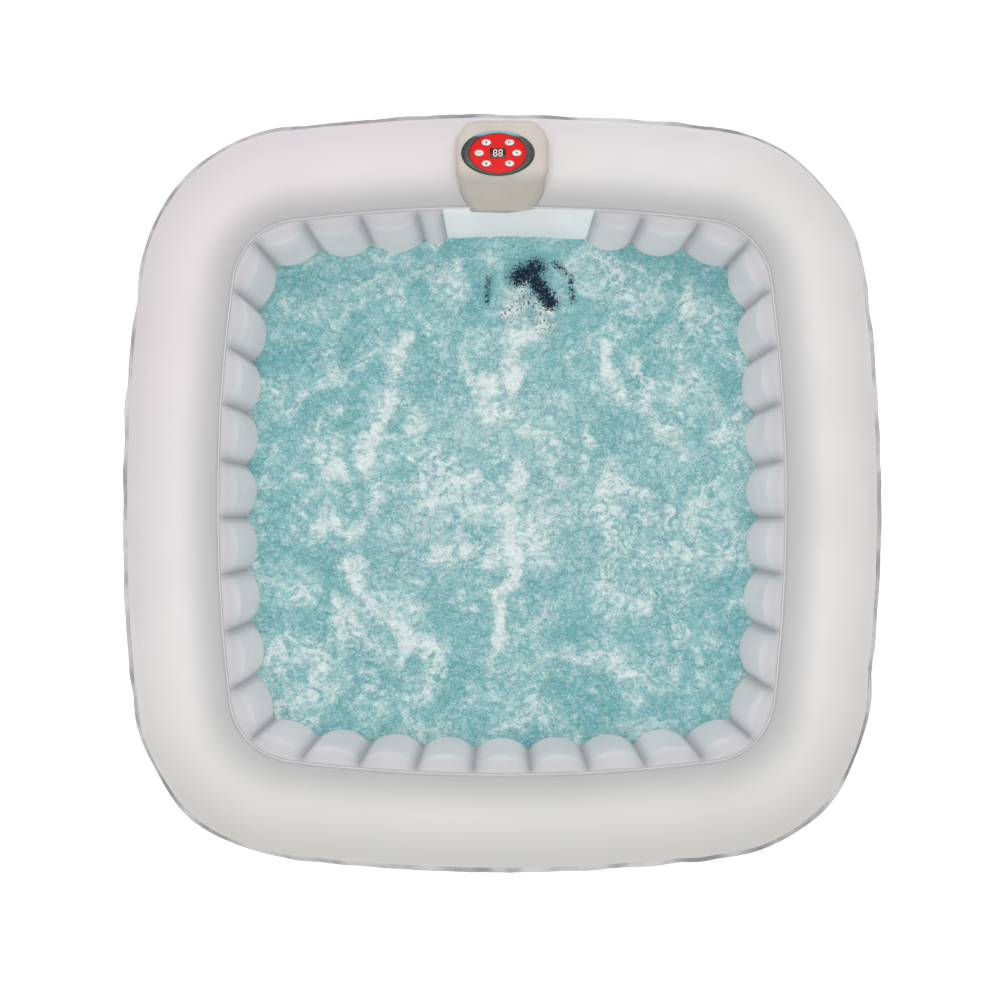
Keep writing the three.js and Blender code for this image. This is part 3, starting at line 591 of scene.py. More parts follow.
bezel = finish("ring_plastic", (0.055, 0.07, 0.062), (0.04, 0.05, 0.046), 0.24, 0.02, 0.0006, 0.00002)
recolour(bezel, painted_sky_reflection)
display = finish("display_plastic", (0.012, 0.012, 0.014), (0.02, 0.02, 0.022), 0.5, 0.01, 0.0005)
navy = finish("filter_navy", (0.012, 0.022, 0.085), (0.018, 0.032, 0.11), 0.42, 0.03, 0.0009, 0.00006)
cap_blue = finish("cap_blue", (0.015, 0.115, 0.52), (0.02, 0.14, 0.58), 0.42, 0.03, 0.0009, 0.00004)
black = finish("pump_black", (0.014, 0.015, 0.017), (0.024, 0.025, 0.027), 0.55, 0.04, 0.001, 0.00008)
rubber = finish("rubber", (0.018, 0.018, 0.018), (0.03, 0.03, 0.029), 0.72, 0.02, 0.0007, 0.00006)
hose = finish("hose_grey", (0.27, 0.29, 0.305), (0.22, 0.24, 0.25), 0.52, 0.06, 0.0012, 0.00008)
steel = finish("brushed_steel", (0.56, 0.57, 0.58), (0.46, 0.47, 0.48), 0.3, 0.04, 0.0008, 0.00003,
               Metallic=1)
white = finish("button_white", (0.86, 0.84, 0.82), (0.80, 0.79, 0.775), 0.3, 0.01, 0.0005, 0.00002)
ink = finish("button_ink", (0.02, 0.018, 0.018), (0.05, 0.045, 0.045), 0.5, 0.004, 0.0004, 0.00001)
red = finish("panel_red", (0.83, 0.004, 0.004), (0.76, 0.002, 0.003), 0.42, 0.03, 0.0007, 0.00002,
             Specular_IOR_Level=0.22)


def brushed(tree):
    """Long scratches along Z."""
    thin = put(tree, "ShaderNodeMapping", {"Vector": object_place(tree), "Scale": (1, 1, 0.02)}).outputs[0]
    return noise(tree, 1400, 2, thin)


add_height(steel, brushed, 1.6)


RING_PITCH = 0.004


def ringed(tree):
    """The spiral that stiffens a hose, as rings along Z."""
    return maths(tree, "SINE", maths(tree, "MULTIPLY", object_axes(tree)[2], 2 * math.pi / RING_PITCH))


add_height(hose, ringed, 3.0)

# %% Paper, board and glass
paper = finish("filter_paper", (0.80, 0.83, 0.86), (0.60, 0.64, 0.62), 0.88, 0.02, 0.0006, 0.00012)


def stained(tree, colour):
    """Old water leaves tan stains in the pleats."""
    return mixed(tree, faded(tree, noise(tree, 24, 4), 0.48, 0.72, 0, 0.6), colour, (0.42, 0.36, 0.25))


recolour(paper, stained)
board = finish("circuit_board", (0.01, 0.10, 0.045), (0.012, 0.125, 0.055), 0.34, 0.01, 0.0008, 0.00003)


def tracks(tree, colour):
    """Copper tracks under the lacquer, in a grid that comes and goes."""
    inputs = {"Vector": object_place(tree), "Scale": 260}
    cells = put(tree, "ShaderNodeTexVoronoi", inputs, distance="CHEBYCHEV").outputs[0]
    return mixed(tree, faded(tree, cells, 0.42, 0.36, 0, 0.8), colour, (0.05, 0.30, 0.12))


recolour(board, tracks)
window = finish("smoked_window", (0.006, 0.006, 0.008), (0.012, 0.011, 0.013), 0.07, 0.01, 0.0008, 0.000005)
digits = finish("lit_digits", (0.75, 0.60, 0.58), (0.85, 0.72, 0.70), 0.4, 0.004)
glow(digits, 0.55)
floor_paint = finish("floor", (0.93, 0.93, 0.93), (0.92, 0.92, 0.92), 0.7, 0.8, 0.01, 0.00001)
glow(floor_paint, 0.42)
print(len(bpy.data.materials), "materials")

# %% Lay the floor
floor = box_piece("floor", (-9000, -9000, -30), (9000, 9000, -0.5), floor_paint)

# %% [markdown]
# ## Weld lines and air columns
# The inner wall is one sheet, welded every 117 mm to webs that hold it to the outer wall. Air pressure swells
# the sheet between two welds into a round column. Blowing up a flat sheet by cloth simulation would give the
# same arcs with far more time and some luck, so each column is drawn as the arc that pressure makes.

# %% Where the welds are
LOBES = 36
VALLEY = 0.008
RISE = 0.027
PANEL = (-0.122, 0.190)
LINING_TOP = 0.5823
CROWN = 0.036
FOOT = 0.045
DRAIN = (2, 2, 0.052)
pitch = perimeter / LOBES
panel_from, panel_to = distance_at(PANEL[1]), distance_at(PANEL[0])
evenly = (side_middle + (np.arange(LOBES) + 0.5) * pitch) % perimeter
welds = [d for d in evenly if d < panel_from or d > panel_to] + [panel_from, panel_to]
welds = np.sort(welds)
print(len(welds), "weld lines,", round(pitch, 4), "m apart")


def wall_place(side, lobes, height, inset=0.008):
    """A place on the wall whose +Y points straight out of the tub."""
    x, y = plan(side_middle + side * perimeter / 4 + lobes * pitch, inset)
    facing = side * math.pi / 2 + lobes * pitch / (side_radius - SEAM_INSET) - math.pi / 2
    return Matrix.Translation((x, y, height)) @ Matrix.Rotation(facing, 4, "Z")


def column_bulge(width, share):
    """How far a column stands out at a share of the way across it."""
    rise = RISE * width / pitch
    radius = (width**2 / 4 + rise**2) / (2 * rise)
    return np.sqrt(radius**2 - ((share - 0.5) * width) ** 2) - (radius - rise)


def columns(steps, first, last):
    """Distances and bulges from one weld to another, on round the tub."""
    ends = np.append(welds, welds + perimeter)
    run = ends[(ends >= first - 1e-6) & (ends <= last + 1e-6)]
    distance, bulge = [], []
    for start, end in zip(run[:-1], run[1:]):
        share = np.arange(steps) / steps
        distance.append(start + (end - start) * share)
        bulge.append(column_bulge(end - start, share))
    return np.append(np.concatenate(distance), last), np.append(np.concatenate(bulge), 0.0)


# %% A thin sheet from a grid
def mark_points(mesh, label, values):
    """Keeps one number with each point of a mesh, for a finish or a rule to read."""
    attribute = mesh.attributes.new(label, "FLOAT", "POINT")
    attribute.data.foreach_set("value", values.astype(np.float32))


def skin(name, grid, material, closed, thickness=SHEET, outward=-1, crease=None):
    """A grid of points as a sheet with its own map in metres and, where given, how near a weld each is, for
    the painted shade in its creases.
    """
    count, rows = grid.shape[:2]
    quads = grid_quads(count, rows)[: count if closed else count - 1, :-1].reshape(-1, 4)
    mesh = bpy.data.meshes.new(name)
    mesh.from_pydata(grid.reshape(-1, 3).tolist(), [], quads.tolist())
    along = np.concatenate([[0], np.cumsum(np.linalg.norm(np.diff(grid[:, rows // 2], axis=0), axis=1))])
    across = np.concatenate([[0], np.cumsum(np.linalg.norm(np.diff(grid[0], axis=0), axis=1))])
    wide = np.append(along, 2 * along[-1] - along[-2])
    sheet = mesh.uv_layers.new(name="sheet").data
    column, row = quads // rows, quads % rows
    column[:, 1:3] = np.repeat(column[:, :1] + 1, 2, axis=1)
    sheet.foreach_set("uv", np.stack([wide[column], across[row]], -1).ravel().astype(np.float32))
    if crease is not None:
        mark_points(mesh, "crease", crease.ravel())
    piece = as_object(name, mesh, material)
    thick = piece.modifiers.new("thickness", "SOLIDIFY")
    thick.thickness = thickness
    thick.offset = outward
    return settle(piece)


# %% The inner wall of air columns
def share_of_bulge(height):
    """A column rounds off under the seam, and a little at the floor."""
    top = np.clip((height - (LINING_TOP - CROWN)) / CROWN, 0, 1)
    foot = np.clip((FOOT - height) / FOOT, 0, 1)
    return np.sqrt(1 - top**2 * 0.9999) * np.sqrt(1 - 0.75 * foot**2)


crown = LINING_TOP - CROWN * (1 - np.sin(np.linspace(0, 1, 14) * math.pi / 2))
heights = np.concatenate([np.linspace(0.0072, 0.05, 6), np.linspace(0.1, 0.5, 12), crown])
distance, bulge = columns(18, panel_to, panel_from + perimeter)
share = share_of_bulge(heights)[None, :]
pucker = 0.0012 * drift(distance, 400, 21)[:, None] * np.exp(-((LINING_TOP - heights) / 0.03))[None, :]
x, y = plan(distance[:, None] + 0 * share, SEAM_INSET + (VALLEY + bulge[:, None]) * share + pucker)
# How near a weld each point is: the lining is painted with shade in the creases along the welds.
run_welds = np.append(welds, welds + perimeter)
from_weld = np.abs(distance[:, None] - run_welds[None, :]).min(1)
below_top = np.clip((LINING_TOP - heights) / 0.02, 0, 1)
crease = np.exp(-((from_weld / 0.011) ** 2))[:, None] * below_top[None, :]
wall = skin("air_column_wall", np.stack([x, y, heights + 0 * x], -1), lining, closed=False, outward=1,
            crease=crease)
cut(wall, bore("hole", 16.6, -60, 60, lining, wall_place(*DRAIN, inset=0.25)))
keep(wall, "tub", "lining", "inner_wall")

# %% [markdown]
# The stretch of lining in front of the machinery has no columns: it is one panel that lies back against the
# box behind it and rounds over into the seam like its neighbours.

# %% The smooth panel
FILTER_AT = (67, 240)
NOZZLE_AT = (-60, 320)
AIR_PORT_AT = (150, 64)
SWELL = 0.009
line = np.linspace(0, 1, 49)
ends_y = unit_side_y(np.array(PANEL), SEAM_INSET + VALLEY)
panel_middle = (PANEL[0] + PANEL[1]) / 2
bow_y = unit_side_y(panel_middle, SEAM_INSET - VALLEY)
panel_x = PANEL[0] + (PANEL[1] - PANEL[0]) * line
panel_y = (1 - line) ** 2 * ends_y[0] + 2 * line * (1 - line) * bow_y + line**2 * ends_y[1]


def panel_swell(height):
    """How far the panel swells towards the water along its length, above the filter."""
    across = 1 - (2 * line - 1) ** 6
    return SWELL * np.exp(-(((height - 0.47) / 0.07) ** 2)) * (across[:, None] if np.ndim(height) else across)


round_over = np.clip((heights - 0.53) / 0.052, 0, 1)[None, :] ** 3
top_y = unit_side_y(panel_x, SEAM_INSET + 0.001)[:, None]
y = panel_y[:, None] * (1 - round_over) + np.maximum(top_y, panel_y[:, None]) * round_over
y = y - panel_swell(heights[None, :])
grid = np.stack([panel_x[:, None] + 0 * y, y, heights + 0 * y], -1)[::-1]
smooth_panel = skin("smooth_wall_panel", grid, panel_lining, closed=False, outward=1)


def hole_y(name, radius, x, z, low, high):
    """A round cutter along Y, in millimetres."""
    return bore(name, radius, low, high, lining, Matrix.Translation((x * MM, 0, z * MM)))


cut(smooth_panel, hole_y("a", 25.3, *FILTER_AT, 540, 620), hole_y("b", 16.3, *NOZZLE_AT, 540, 620),
    hole_y("c", 9.8, *AIR_PORT_AT, 500, 620))
keep(smooth_panel, "tub", "lining", "inner_wall_panel")

# %% [markdown]
# ## Rim roll
# The rim is a sheet welded along two seams with air under it, so its section is an arc. Where a flat sheet is
# made to turn a tight corner, it has too much cloth at its edges and puckers. Those creases are short, stand
# square to the seam and die out within a few centimetres, and they are strongest in the corners.

# %% The rim's arc and its puckers
RIM_RISE = 0.062
outer_end = Vector((0.012, 0.5533))
inner_end = Vector((SEAM_INSET, 0.5864))
chord = inner_end - outer_end
rim_radius = (chord.length_squared / 4 + RIM_RISE**2) / (2 * RIM_RISE)
up = Vector((-chord.y, chord.x)).normalized()
rim_centre = (outer_end + inner_end) / 2 + up * (RIM_RISE - rim_radius)
start = math.atan2(*reversed(outer_end - rim_centre))
end = math.atan2(*reversed(inner_end - rim_centre))
COUNT = 900
round_tub = np.arange(COUNT) / COUNT * perimeter
t = np.linspace(0, 1, 31)
t = t - 0.06 * np.sin(2 * np.pi * t)
angle = start + (end - start) * t


def cornering(distance):
    """1 in the middle of a round corner, falling to 0 along the sides."""
    middle = arc_end[1::2] - arc_length[1::2] / 2
    return np.exp(-((apart(distance[:, None], middle).min(1) / 0.17) ** 2))


corner_share = cornering(round_tub)
creases = drift(round_tub, 230, 31) * (0.2 + corner_share)
near_outer = np.exp(-t / 0.12)
near_inner = np.exp(-(1 - t) / 0.07)
swell = 0.0016 * drift(round_tub, 22, 32)[:, None] * np.sin(np.pi * t)[None, :]
pucker = 0.0030 * creases[:, None] * near_outer * (1 - np.exp(-t / 0.012))
pucker = pucker + 0.0013 * np.roll(creases, 37)[:, None] * near_inner * (1 - np.exp(-(1 - t) / 0.012))
reach = rim_radius + swell + pucker
seam_wander = (0.0016 + 0.0036 * corner_share) * drift(round_tub, 60, 11)
wander = seam_wander[:, None] * (1 - t)[None, :] ** 3
inset = rim_centre.x + reach * np.cos(angle) + wander
x, y = plan(round_tub[:, None] + 0 * inset, inset)
rim_grid = np.stack([x, y, rim_centre.y + reach * np.sin(angle)], -1)
rim = skin("rim_roll_skin", rim_grid, rim_vinyl, closed=True)

# %% [markdown]
# ## Control head
# The head is a hollow moulding: a flat deck that carries the panel and leans a little towards the bather, a
# long front slope, and shoulders that fall away at the sides and back. It is the hull of a few corner points
# with every edge above its foot rounded, which is how such a tool is cut. Modelling it by pushing a
# subdivided cube would lose the flat deck.

# %% Hull, hollow and opening
DECK_FRONT = (607, 670)
DECK_SLOPE = 0.178
FOOT_TOP = 0.605
HEAD_EDGE = 0.013
PANEL_MIDDLE = (-0.008, 0.648)
DECK_OPENING = (51.5, 32.7)


def deck(y):
    """Height of the head's deck, in millimetres."""
    return DECK_FRONT[1] + (y - DECK_FRONT[0]) * DECK_SLOPE


DECK = [(x, y, deck(y)) for x, y in [(90, 607), (92, 640), (92, 684), (62, 710)]]
HEAD_FOOT = [(88, 708, 600), (66, 734, 600), (84, 600, 589), (60, 570, 589)]
NECK = [(60, 592), (84, 640), (84, 690), (60, 725)]
HEAD_MIDDLE_Y = 655


def mirrored_hull(name, corners, inward, material, rounding=0.0):
    """The hull of some corners and their mirror images, drawn in, with its edges above the foot rounded."""
    work = bmesh.new()
    middle_z = (corners[0][2] + corners[-1][2]) / 2
    for x, y, z in corners:
        new_y = y - inward if y > HEAD_MIDDLE_Y else y + inward
        new_z = z - inward if z > middle_z else z + inward
        for hand in (1, -1):
            work.verts.new(Vector((hand * (x - inward), new_y, new_z)) * MM)
    bmesh.ops.convex_hull(work, input=work.verts)
    bmesh.ops.dissolve_limit(work, angle_limit=0.02, verts=work.verts, edges=work.edges)
    if rounding:
        upper = [edge for edge in work.edges if max(vert.co.z for vert in edge.verts) > FOOT_TOP]
        bmesh.ops.bevel(work, geom=upper, offset=rounding, segments=6, profile=0.5, affect="EDGES")
    mesh = bpy.data.meshes.new(name)
    work.to_mesh(mesh)
    work.free()
    point_out(mesh)
    return as_object(name, mesh, material)


def head_form(name, inward, bottom, material, rounding=0.0):
    """The head's body over the rim and the seam, with its neck down to the box below."""
    body = mirrored_hull(name, DECK + HEAD_FOOT, inward, material, rounding)
    neck = [(x, y, 609) for x, y in NECK] + [(x, y, bottom) for x, y in NECK]
    return cut(body, mirrored_hull("neck", neck, inward, material), operation="UNION")


panel_place = (Matrix.Translation((*PANEL_MIDDLE, deck(PANEL_MIDDLE[1] * TO_MM) * MM))
               @ Matrix.Rotation(math.atan(DECK_SLOPE), 4, "X"))
upright = Matrix.Rotation(math.pi / 2, 4, "X")


def oval(name, profile, radii, material, steps, x=0.0, y=0.0):
    """A profile of (share of the radius, height) turned to an oval on the panel, in millimetres."""
    local = [(share * radii[0], height) for share, height in profile]
    place = panel_place @ Matrix.Translation((x * MM, y * MM, 0)) @ upright
    return turned(name, local, material, place, steps, radii[1] / radii[0])


def oval_cutter(radii, low, high, x=0.0, y=0.0):
    """A straight oval hole through the panel."""
    return oval("cutter", [(0, low), (1, low), (1, high), (0, high)], radii, cover, 64, x, y)


head = head_form("head_shell", 0, 536.3, cover, HEAD_EDGE)
cut(head, head_form("hollow", 6, 530, cover), oval_cutter(DECK_OPENING, -25, 25))
head.data.shade_smooth()
head.data.set_sharp_from_angle(angle=math.radians(30))
keep(head, "tub", "cover_plastic", "control_head")
cut(rim, head_form("rim_opening", -0.5, 530, vinyl, HEAD_EDGE))
keep(rim, "tub", "vinyl", "rim_roll")

# %% [markdown]
# ## Outer wall, base and seams
# The outer wall is pulled in a little along every web, which gives the side its faint upright ripples. Each
# seam is a narrow flange, two skins thick, with two raised beads along the weld. The flange was flat when it
# was welded and has to go round corners, so its edge frills.

# %% Outer wall
WALL_TOP = 0.55
wall_z = np.array([0.0036, 0.008, 0.014, 0.022, *np.linspace(0.06, 0.51, 16), 0.53, 0.542, 0.5497])
wall_inset = np.interp(wall_z, [0.0036, 0.022, 0.29, 0.5497], [0.024, 0.012, 0.008, 0.012])
to_weld = apart(round_tub[:, None], evenly).min(1)
to_unit = apart(round_tub, side_middle + perimeter / 4)
dimple = 0.0035 * np.exp(-((to_weld / 0.014) ** 2)) * np.clip((to_unit - 0.2) / 0.06, 0, 1)
upright_fade = np.sin(np.pi * np.clip(wall_z / WALL_TOP, 0.02, 0.98)) ** 0.5
crumple = 0.0012 * drift(round_tub, 260, 41)[:, None] * np.exp(-wall_z / 0.03)[None, :]
top_crumple = 0.0012 * drift(round_tub, 260, 42)[:, None] * np.exp(-(WALL_TOP - wall_z) / 0.03)[None, :]
crumple = crumple + top_crumple
inset = wall_inset[None, :] + dimple[:, None] * upright_fade[None, :] + np.abs(crumple)
x, y = plan(round_tub[:, None] + 0 * inset, inset)
outer = skin("outer_wall_skin", np.stack([x, y, wall_z + 0 * x], -1), vinyl, closed=True)


valve_place = wall_place(1, 3, 0.470)
drain_place = wall_place(*DRAIN)
service_window = box_piece("window", (-113, 700, 39), (181, 850, 537), vinyl)
cut(outer, service_window, *[bore("hole", 16.5, -40, 40, vinyl, at) for at in (valve_place, drain_place)])
keep(outer, "tub", "vinyl", "outer_wall")

# %% Seam flanges
def flange(name, inner, outer_edge, middle, thickness, frill, material, node, seed):
    """A seam: a strip round the tub with two beads along it; its free edge frills by the given height."""
    across = np.linspace(0, 1, 9)
    inset = inner + (outer_edge - inner) * across
    bead = 0.0005 * (np.exp(-(((across - 0.35) / 0.08) ** 2)) + np.exp(-(((across - 0.75) / 0.08) ** 2)))
    lift = frill * (0.6 * drift(round_tub, 150, seed) + 0.4 * drift(round_tub, 420, seed + 1))
    height = middle + bead[None, :] + lift[:, None] * across[None, :] ** 2
    wander = seam_wander[:, None] * across[None, :] * (1.3 if frill > 0.001 else 0.2)
    x, y = plan(round_tub[:, None] + 0 * wander, inset[None, :] + wander)
    strip = skin(name, np.stack([x, y, height], -1)[:, ::-1], material, closed=True, thickness=thickness)
    keep(strip, "tub", "seam_vinyl", node)


flange("outer_seam_flange", 0.0155, 0.002, 0.5524, 0.0022, 0.0028, shaded_outer_weld, "outer_weld_seam", 51)
flange("inner_seam_flange", 0.2035, 0.2125, 0.5848, 0.002, 0.0007, weld, "inner_weld_seam", 53)
base_seam = sweep("base_seam_flange", [(0.018, 0.0018), (0.018, 0.0033), (0.032, 0.0033), (0.032, 0.0018)],
                  weld, 0.0006)
keep(base_seam, "tub", "seam_vinyl", "base_weld_seam")

# %% Base and floor sheets
def plate(name, inset, low, high, material, count=240):
    """A flat sheet with the plan's outline."""
    x, y = plan(np.arange(count) / count * perimeter, inset)
    points = [(a, b, z) for z in (low, high) for a, b in zip(x, y)]
    sides = [(i, (i + 1) % count, count + (i + 1) % count, count + i) for i in range(count)]
    faces = [tuple(range(count - 1, -1, -1)), tuple(range(count, 2 * count)), *sides]
    return as_object(name, mesh_of(name, points, faces), material)


keep(plate("base_skin", 0.026, 0, 0.0015, vinyl), "tub", "vinyl", "base_sheet")
keep(plate("floor_skin", SEAM_INSET - 0.004, 0.005, 0.0065, lining), "tub", "lining", "floor_sheet")

# %% [markdown]
# ## The panel
# A dark oval ring frames a red panel with a smoked window and six domed keys. Each key rides on its own body,
# so that it can be pressed. Its mark is a small raised shape: a drop, three strokes, a padlock, bubbles, up
# and down. They are plain signs, drawn as flat outlines and given a little height.

# %% Ring, red panel and window
RING_STEPS = 144
RING_INNER = (55.6, 36.8)
RING_OUTER = (71.5, 41.5)
RING_SECTION = [(0, 0.3), (0, 3.7), (0.08, 4.4), (0.2, 4.6), (0.45, 4.4), (0.72, 3.7), (0.93, 2.4),
                (1, 1.2), (1, 0.3)]
RED_RADII = (55.2, 36.4)
KEY_RADII = (9, 5.5)
KEY_HOLE_RADII = (9.4, 5.9)
KEY_OVAL = (36.5, 24.5)
KEY_TURNS = {"button_heater": 128, "button_filter": 180, "button_lock": 232, "button_bubbles": 52,
             "button_warmer": 0, "button_cooler": -52}
KEY_PLACES = {name: (KEY_OVAL[0] * math.cos(math.radians(a)), KEY_OVAL[1] * math.sin(math.radians(a)))
              for name, a in KEY_TURNS.items()}


def ring_grid():
    """The ring between the red panel's oval and its own wider one, as points round and across it."""
    t = np.arange(RING_STEPS) / RING_STEPS * 2 * np.pi
    share, height = np.array(RING_SECTION).T
    rx, ry = (low + (high - low) * share[None, :] for low, high in zip(RING_INNER, RING_OUTER))
    height = np.broadcast_to(height, (RING_STEPS, len(RING_SECTION)))
    return np.stack([rx * np.cos(t)[:, None], ry * np.sin(t)[:, None], height], -1)


points = ring_grid()
mesh = mesh_of("panel_ring", points * MM, sweep_faces(*points.shape[:2]))
mesh.transform(panel_place)
keep(as_object("panel_ring", mesh, bezel), "tub", "bezel_plastic", "panel_bezel")
plate_profile = [(0, 0.3), (1, 0.3), (1, 2.3), (0.985, 2.6), (0.8, 2.9), (0.5, 3.15), (0, 3.25)]
overlay = oval("red_panel", plate_profile, RED_RADII, red, 128)
key_holes = [oval_cutter(KEY_HOLE_RADII, -5, 10, x, y) for x, y in KEY_PLACES.values()]
window_hole = box_piece("hole", (-15.1, -9.3, -5), (15.1, 9.3, 10), red, panel_place)
keep(cut(overlay, window_hole, *key_holes), "tub", "overlay_red", "panel_overlay")
glass = rounded(box_piece("display_glass", (-14.7, -9, 1.2), (14.7, 9, 3.5), window, panel_place), 0.0006)
keep(glass, "tub", "smoked_window", "display_window")

# %% Lit digits
def flat_shape(name, outline, low, high, material, place):
    """A flat outline in millimetres given a height."""
    count = len(outline)
    points = [(x, y, z) for z in (low, high) for x, y in outline]
    sides = [(i, (i + 1) % count, count + (i + 1) % count, count + i) for i in range(count)]
    mesh = mesh_of(name, np.array(points) * MM, [tuple(range(count)), tuple(range(count, 2 * count)), *sides])
    mesh.transform(place)
    return as_object(name, mesh, material)


def bar(length, width):
    """One lit segment: a bar with pointed ends."""
    half, w = length / 2, width / 2
    return [(-half, 0), (-half + w, w), (half - w, w), (half, 0), (half - w, -w), (-half + w, -w)]


SEGMENTS = [(0, 5.6, 0), (0, 0, 0), (0, -5.6, 0), (-3, 2.8, 90), (3, 2.8, 90), (-3, -2.8, 90), (3, -2.8, 90)]
segments = []
for middle in (-5.2, 5.2):
    for x, y, turn in SEGMENTS:
        at = panel_place @ Matrix.Translation(((middle + x) * MM, y * MM, 0))
        at = at @ Matrix.Rotation(math.radians(turn), 4, "Z")
        segments.append(flat_shape("segment", bar(5.0, 1.5), 3.3, 3.62, digits, at))
keep(joined("lit_digits", segments), "tub", "smoked_window")

# %% Keys and their marks
def disc(x, y, radius, count=14):
    """A small round outline."""
    return [(x + radius * math.cos(2 * math.pi * i / count), y + radius * math.sin(2 * math.pi * i / count))
            for i in range(count)]


def slanted(x):
    """One short slanted stroke."""
    return [(x - 0.9, -1.9), (x - 0.1, -1.9), (x + 0.9, 1.9), (x + 0.1, 1.9)]


MARKS = {
    "button_heater": [[(0, 2.6), (-1.7, 0.1), (-1.6, -1.4), (0, -2.3), (1.6, -1.4), (1.8, 0.2), (0.8, 0.9)]],
    "button_filter": [slanted(x) for x in (-2.4, 0, 2.4)],
    "button_lock": [[(-1.9, -2.2), (1.9, -2.2), (1.9, 0.4), (-1.9, 0.4)],
                    [(-1.3, 0.6), (-1.3, 1.6), (-0.5, 2.4), (0.5, 2.4), (1.3, 1.6), (1.3, 0.6), (0.7, 0.6),
                     (0.7, 1.4), (0.3, 1.8), (-0.3, 1.8), (-0.7, 1.4), (-0.7, 0.6)]],
    "button_bubbles": [disc(-1.8, -0.8, 1.2), disc(1.5, -1.0, 0.9), disc(0.6, 1.3, 1.1)],
    "button_warmer": [[(-2.4, -1.5), (2.4, -1.5), (0, 2.1)]],
    "button_cooler": [[(-2.4, 1.5), (0, -2.1), (2.4, 1.5)]],
}
KEY_PROFILE = [(0, -10), (1, -10), (1, 3.7), (0.97, 4.25), (0.88, 4.6), (0.66, 4.82), (0.33, 4.93), (0, 4.96)]
for name, (x, y) in KEY_PLACES.items():
    key = oval("key", KEY_PROFILE, KEY_RADII, white, 48, x, y)
    at = panel_place @ Matrix.Translation((x * MM, y * MM, 0))
    marks = [flat_shape("mark", outline, 4.5, 5.12, ink, at) for outline in MARKS[name]]
    keep(joined(name.replace("button", "key"), [key, *marks]), name, "button_white", name)

# %% [markdown]
# ## Repeats by rule
# Screws, louvres, pleats, ribs and air holes are one shape repeated. Copying them by hand would bury the rule
# in numbers. Geometry Nodes state it once: a row or ring of points, a shape on each, sizes as named inputs.
# The result is made real and kept as a plain mesh.

# %% A node tree with named inputs
KINDS = {float: "NodeSocketFloat", bpy.types.Object: "NodeSocketObject"}


def rule(name, inputs):
    """A Geometry Nodes tree with a mesh in, a mesh out and its named inputs."""
    tree = bpy.data.node_groups.new(name, "GeometryNodeTree")
    for way in ("INPUT", "OUTPUT"):
        tree.interface.new_socket("Geometry", in_out=way, socket_type="NodeSocketGeometry")
    for label, kind in inputs.items():
        tree.interface.new_socket(label, in_out="INPUT", socket_type=KINDS[kind])
    return tree, put(tree, "NodeGroupInput").outputs, put(tree, "NodeGroupOutput").inputs[0]


def follow(piece, tree, material, **values):
    """Runs a tree on a piece with its inputs set, and keeps the plain result."""
    step = piece.modifiers.new("rule", "NODES")
    step.node_group = tree
    for socket in tree.interface.items_tree:
        label = socket.name.replace(" ", "_")
        if label in values:
            step[socket.identifier] = values[label]
    settle(piece)
    made = as_object(piece.name, piece.data, material)
    bpy.data.objects.remove(piece)
    return made


def points_at(name, places):
    """A mesh of loose points whose own turn is kept with them."""
    mesh = bpy.data.meshes.new(name)
    mesh.from_pydata([place.translation for place in places], [], [])
    turn = mesh.attributes.new("turn", "FLOAT_VECTOR", "POINT").data
    for slot, place in zip(turn, places):
        slot.vector = place.to_euler()
    piece = bpy.data.objects.new(name, mesh)
    bpy.context.collection.objects.link(piece)
    return piece


copies, given, out = rule("copies_on_points", {"Shape": bpy.types.Object, "Size": float})
shape = put(copies, "GeometryNodeObjectInfo", {"Object": given["Shape"]}).outputs["Geometry"]
turn = put(copies, "GeometryNodeInputNamedAttribute", {"Name": "turn"}, data_type="FLOAT_VECTOR")
size = put(copies, "ShaderNodeCombineXYZ", {axis: given["Size"] for axis in (0, 1, 2)})
each = put(copies, "GeometryNodeInstanceOnPoints", {
    "Points": given["Geometry"], "Instance": shape, "Scale": size.outputs[0],
    "Rotation": put(copies, "FunctionNodeEulerToRotation", {0: turn.outputs[0]}).outputs[0],
})
real = put(copies, "GeometryNodeRealizeInstances", {0: each.outputs[0]})
painted = put(copies, "GeometryNodeSetMaterial", {"Geometry": real.outputs[0]})
copies.links.new(painted.outputs[0], out)


def repeat(name, shape, places):
    """One shape at every place, at its own size, as one plain mesh."""
    material = shape.data.materials[0]
    painted.inputs["Material"].default_value = material
    made = follow(points_at(name, places), copies, material, Shape=shape, Size=1.0)
    bpy.data.objects.remove(shape)
    return made


# %% [markdown]
# ## Service cover
# The back of the machinery is closed by a moulded cover with rounded corners, stiffening ribs and louvres
# over the blower. Four pan-head screws hold it, and a gland waits for the mains lead.

# %% Cover plate
BACK = 776.0
COVER_FRONT = 772.0
COVER_CORNERS = (-112, 180, 40, 536)
LOUVRES = 6
LOUVRE_PITCH = 12
RIBS = 10
RIB_PITCH = 24


def rounded_outline(low_x, high_x, low_z, high_z, radius, steps=8):
    """A rectangle with round corners."""
    low_x, high_x, low_z, high_z = low_x + radius, high_x - radius, low_z + radius, high_z - radius
    points = []
    for x, z, turn in ((high_x, high_z, 0), (low_x, high_z, 90), (low_x, low_z, 180), (high_x, low_z, 270)):
        for i in range(steps + 1):
            a = math.radians(turn + 90 * i / steps)
            points.append((x + radius * math.cos(a), z + radius * math.sin(a)))
    return points


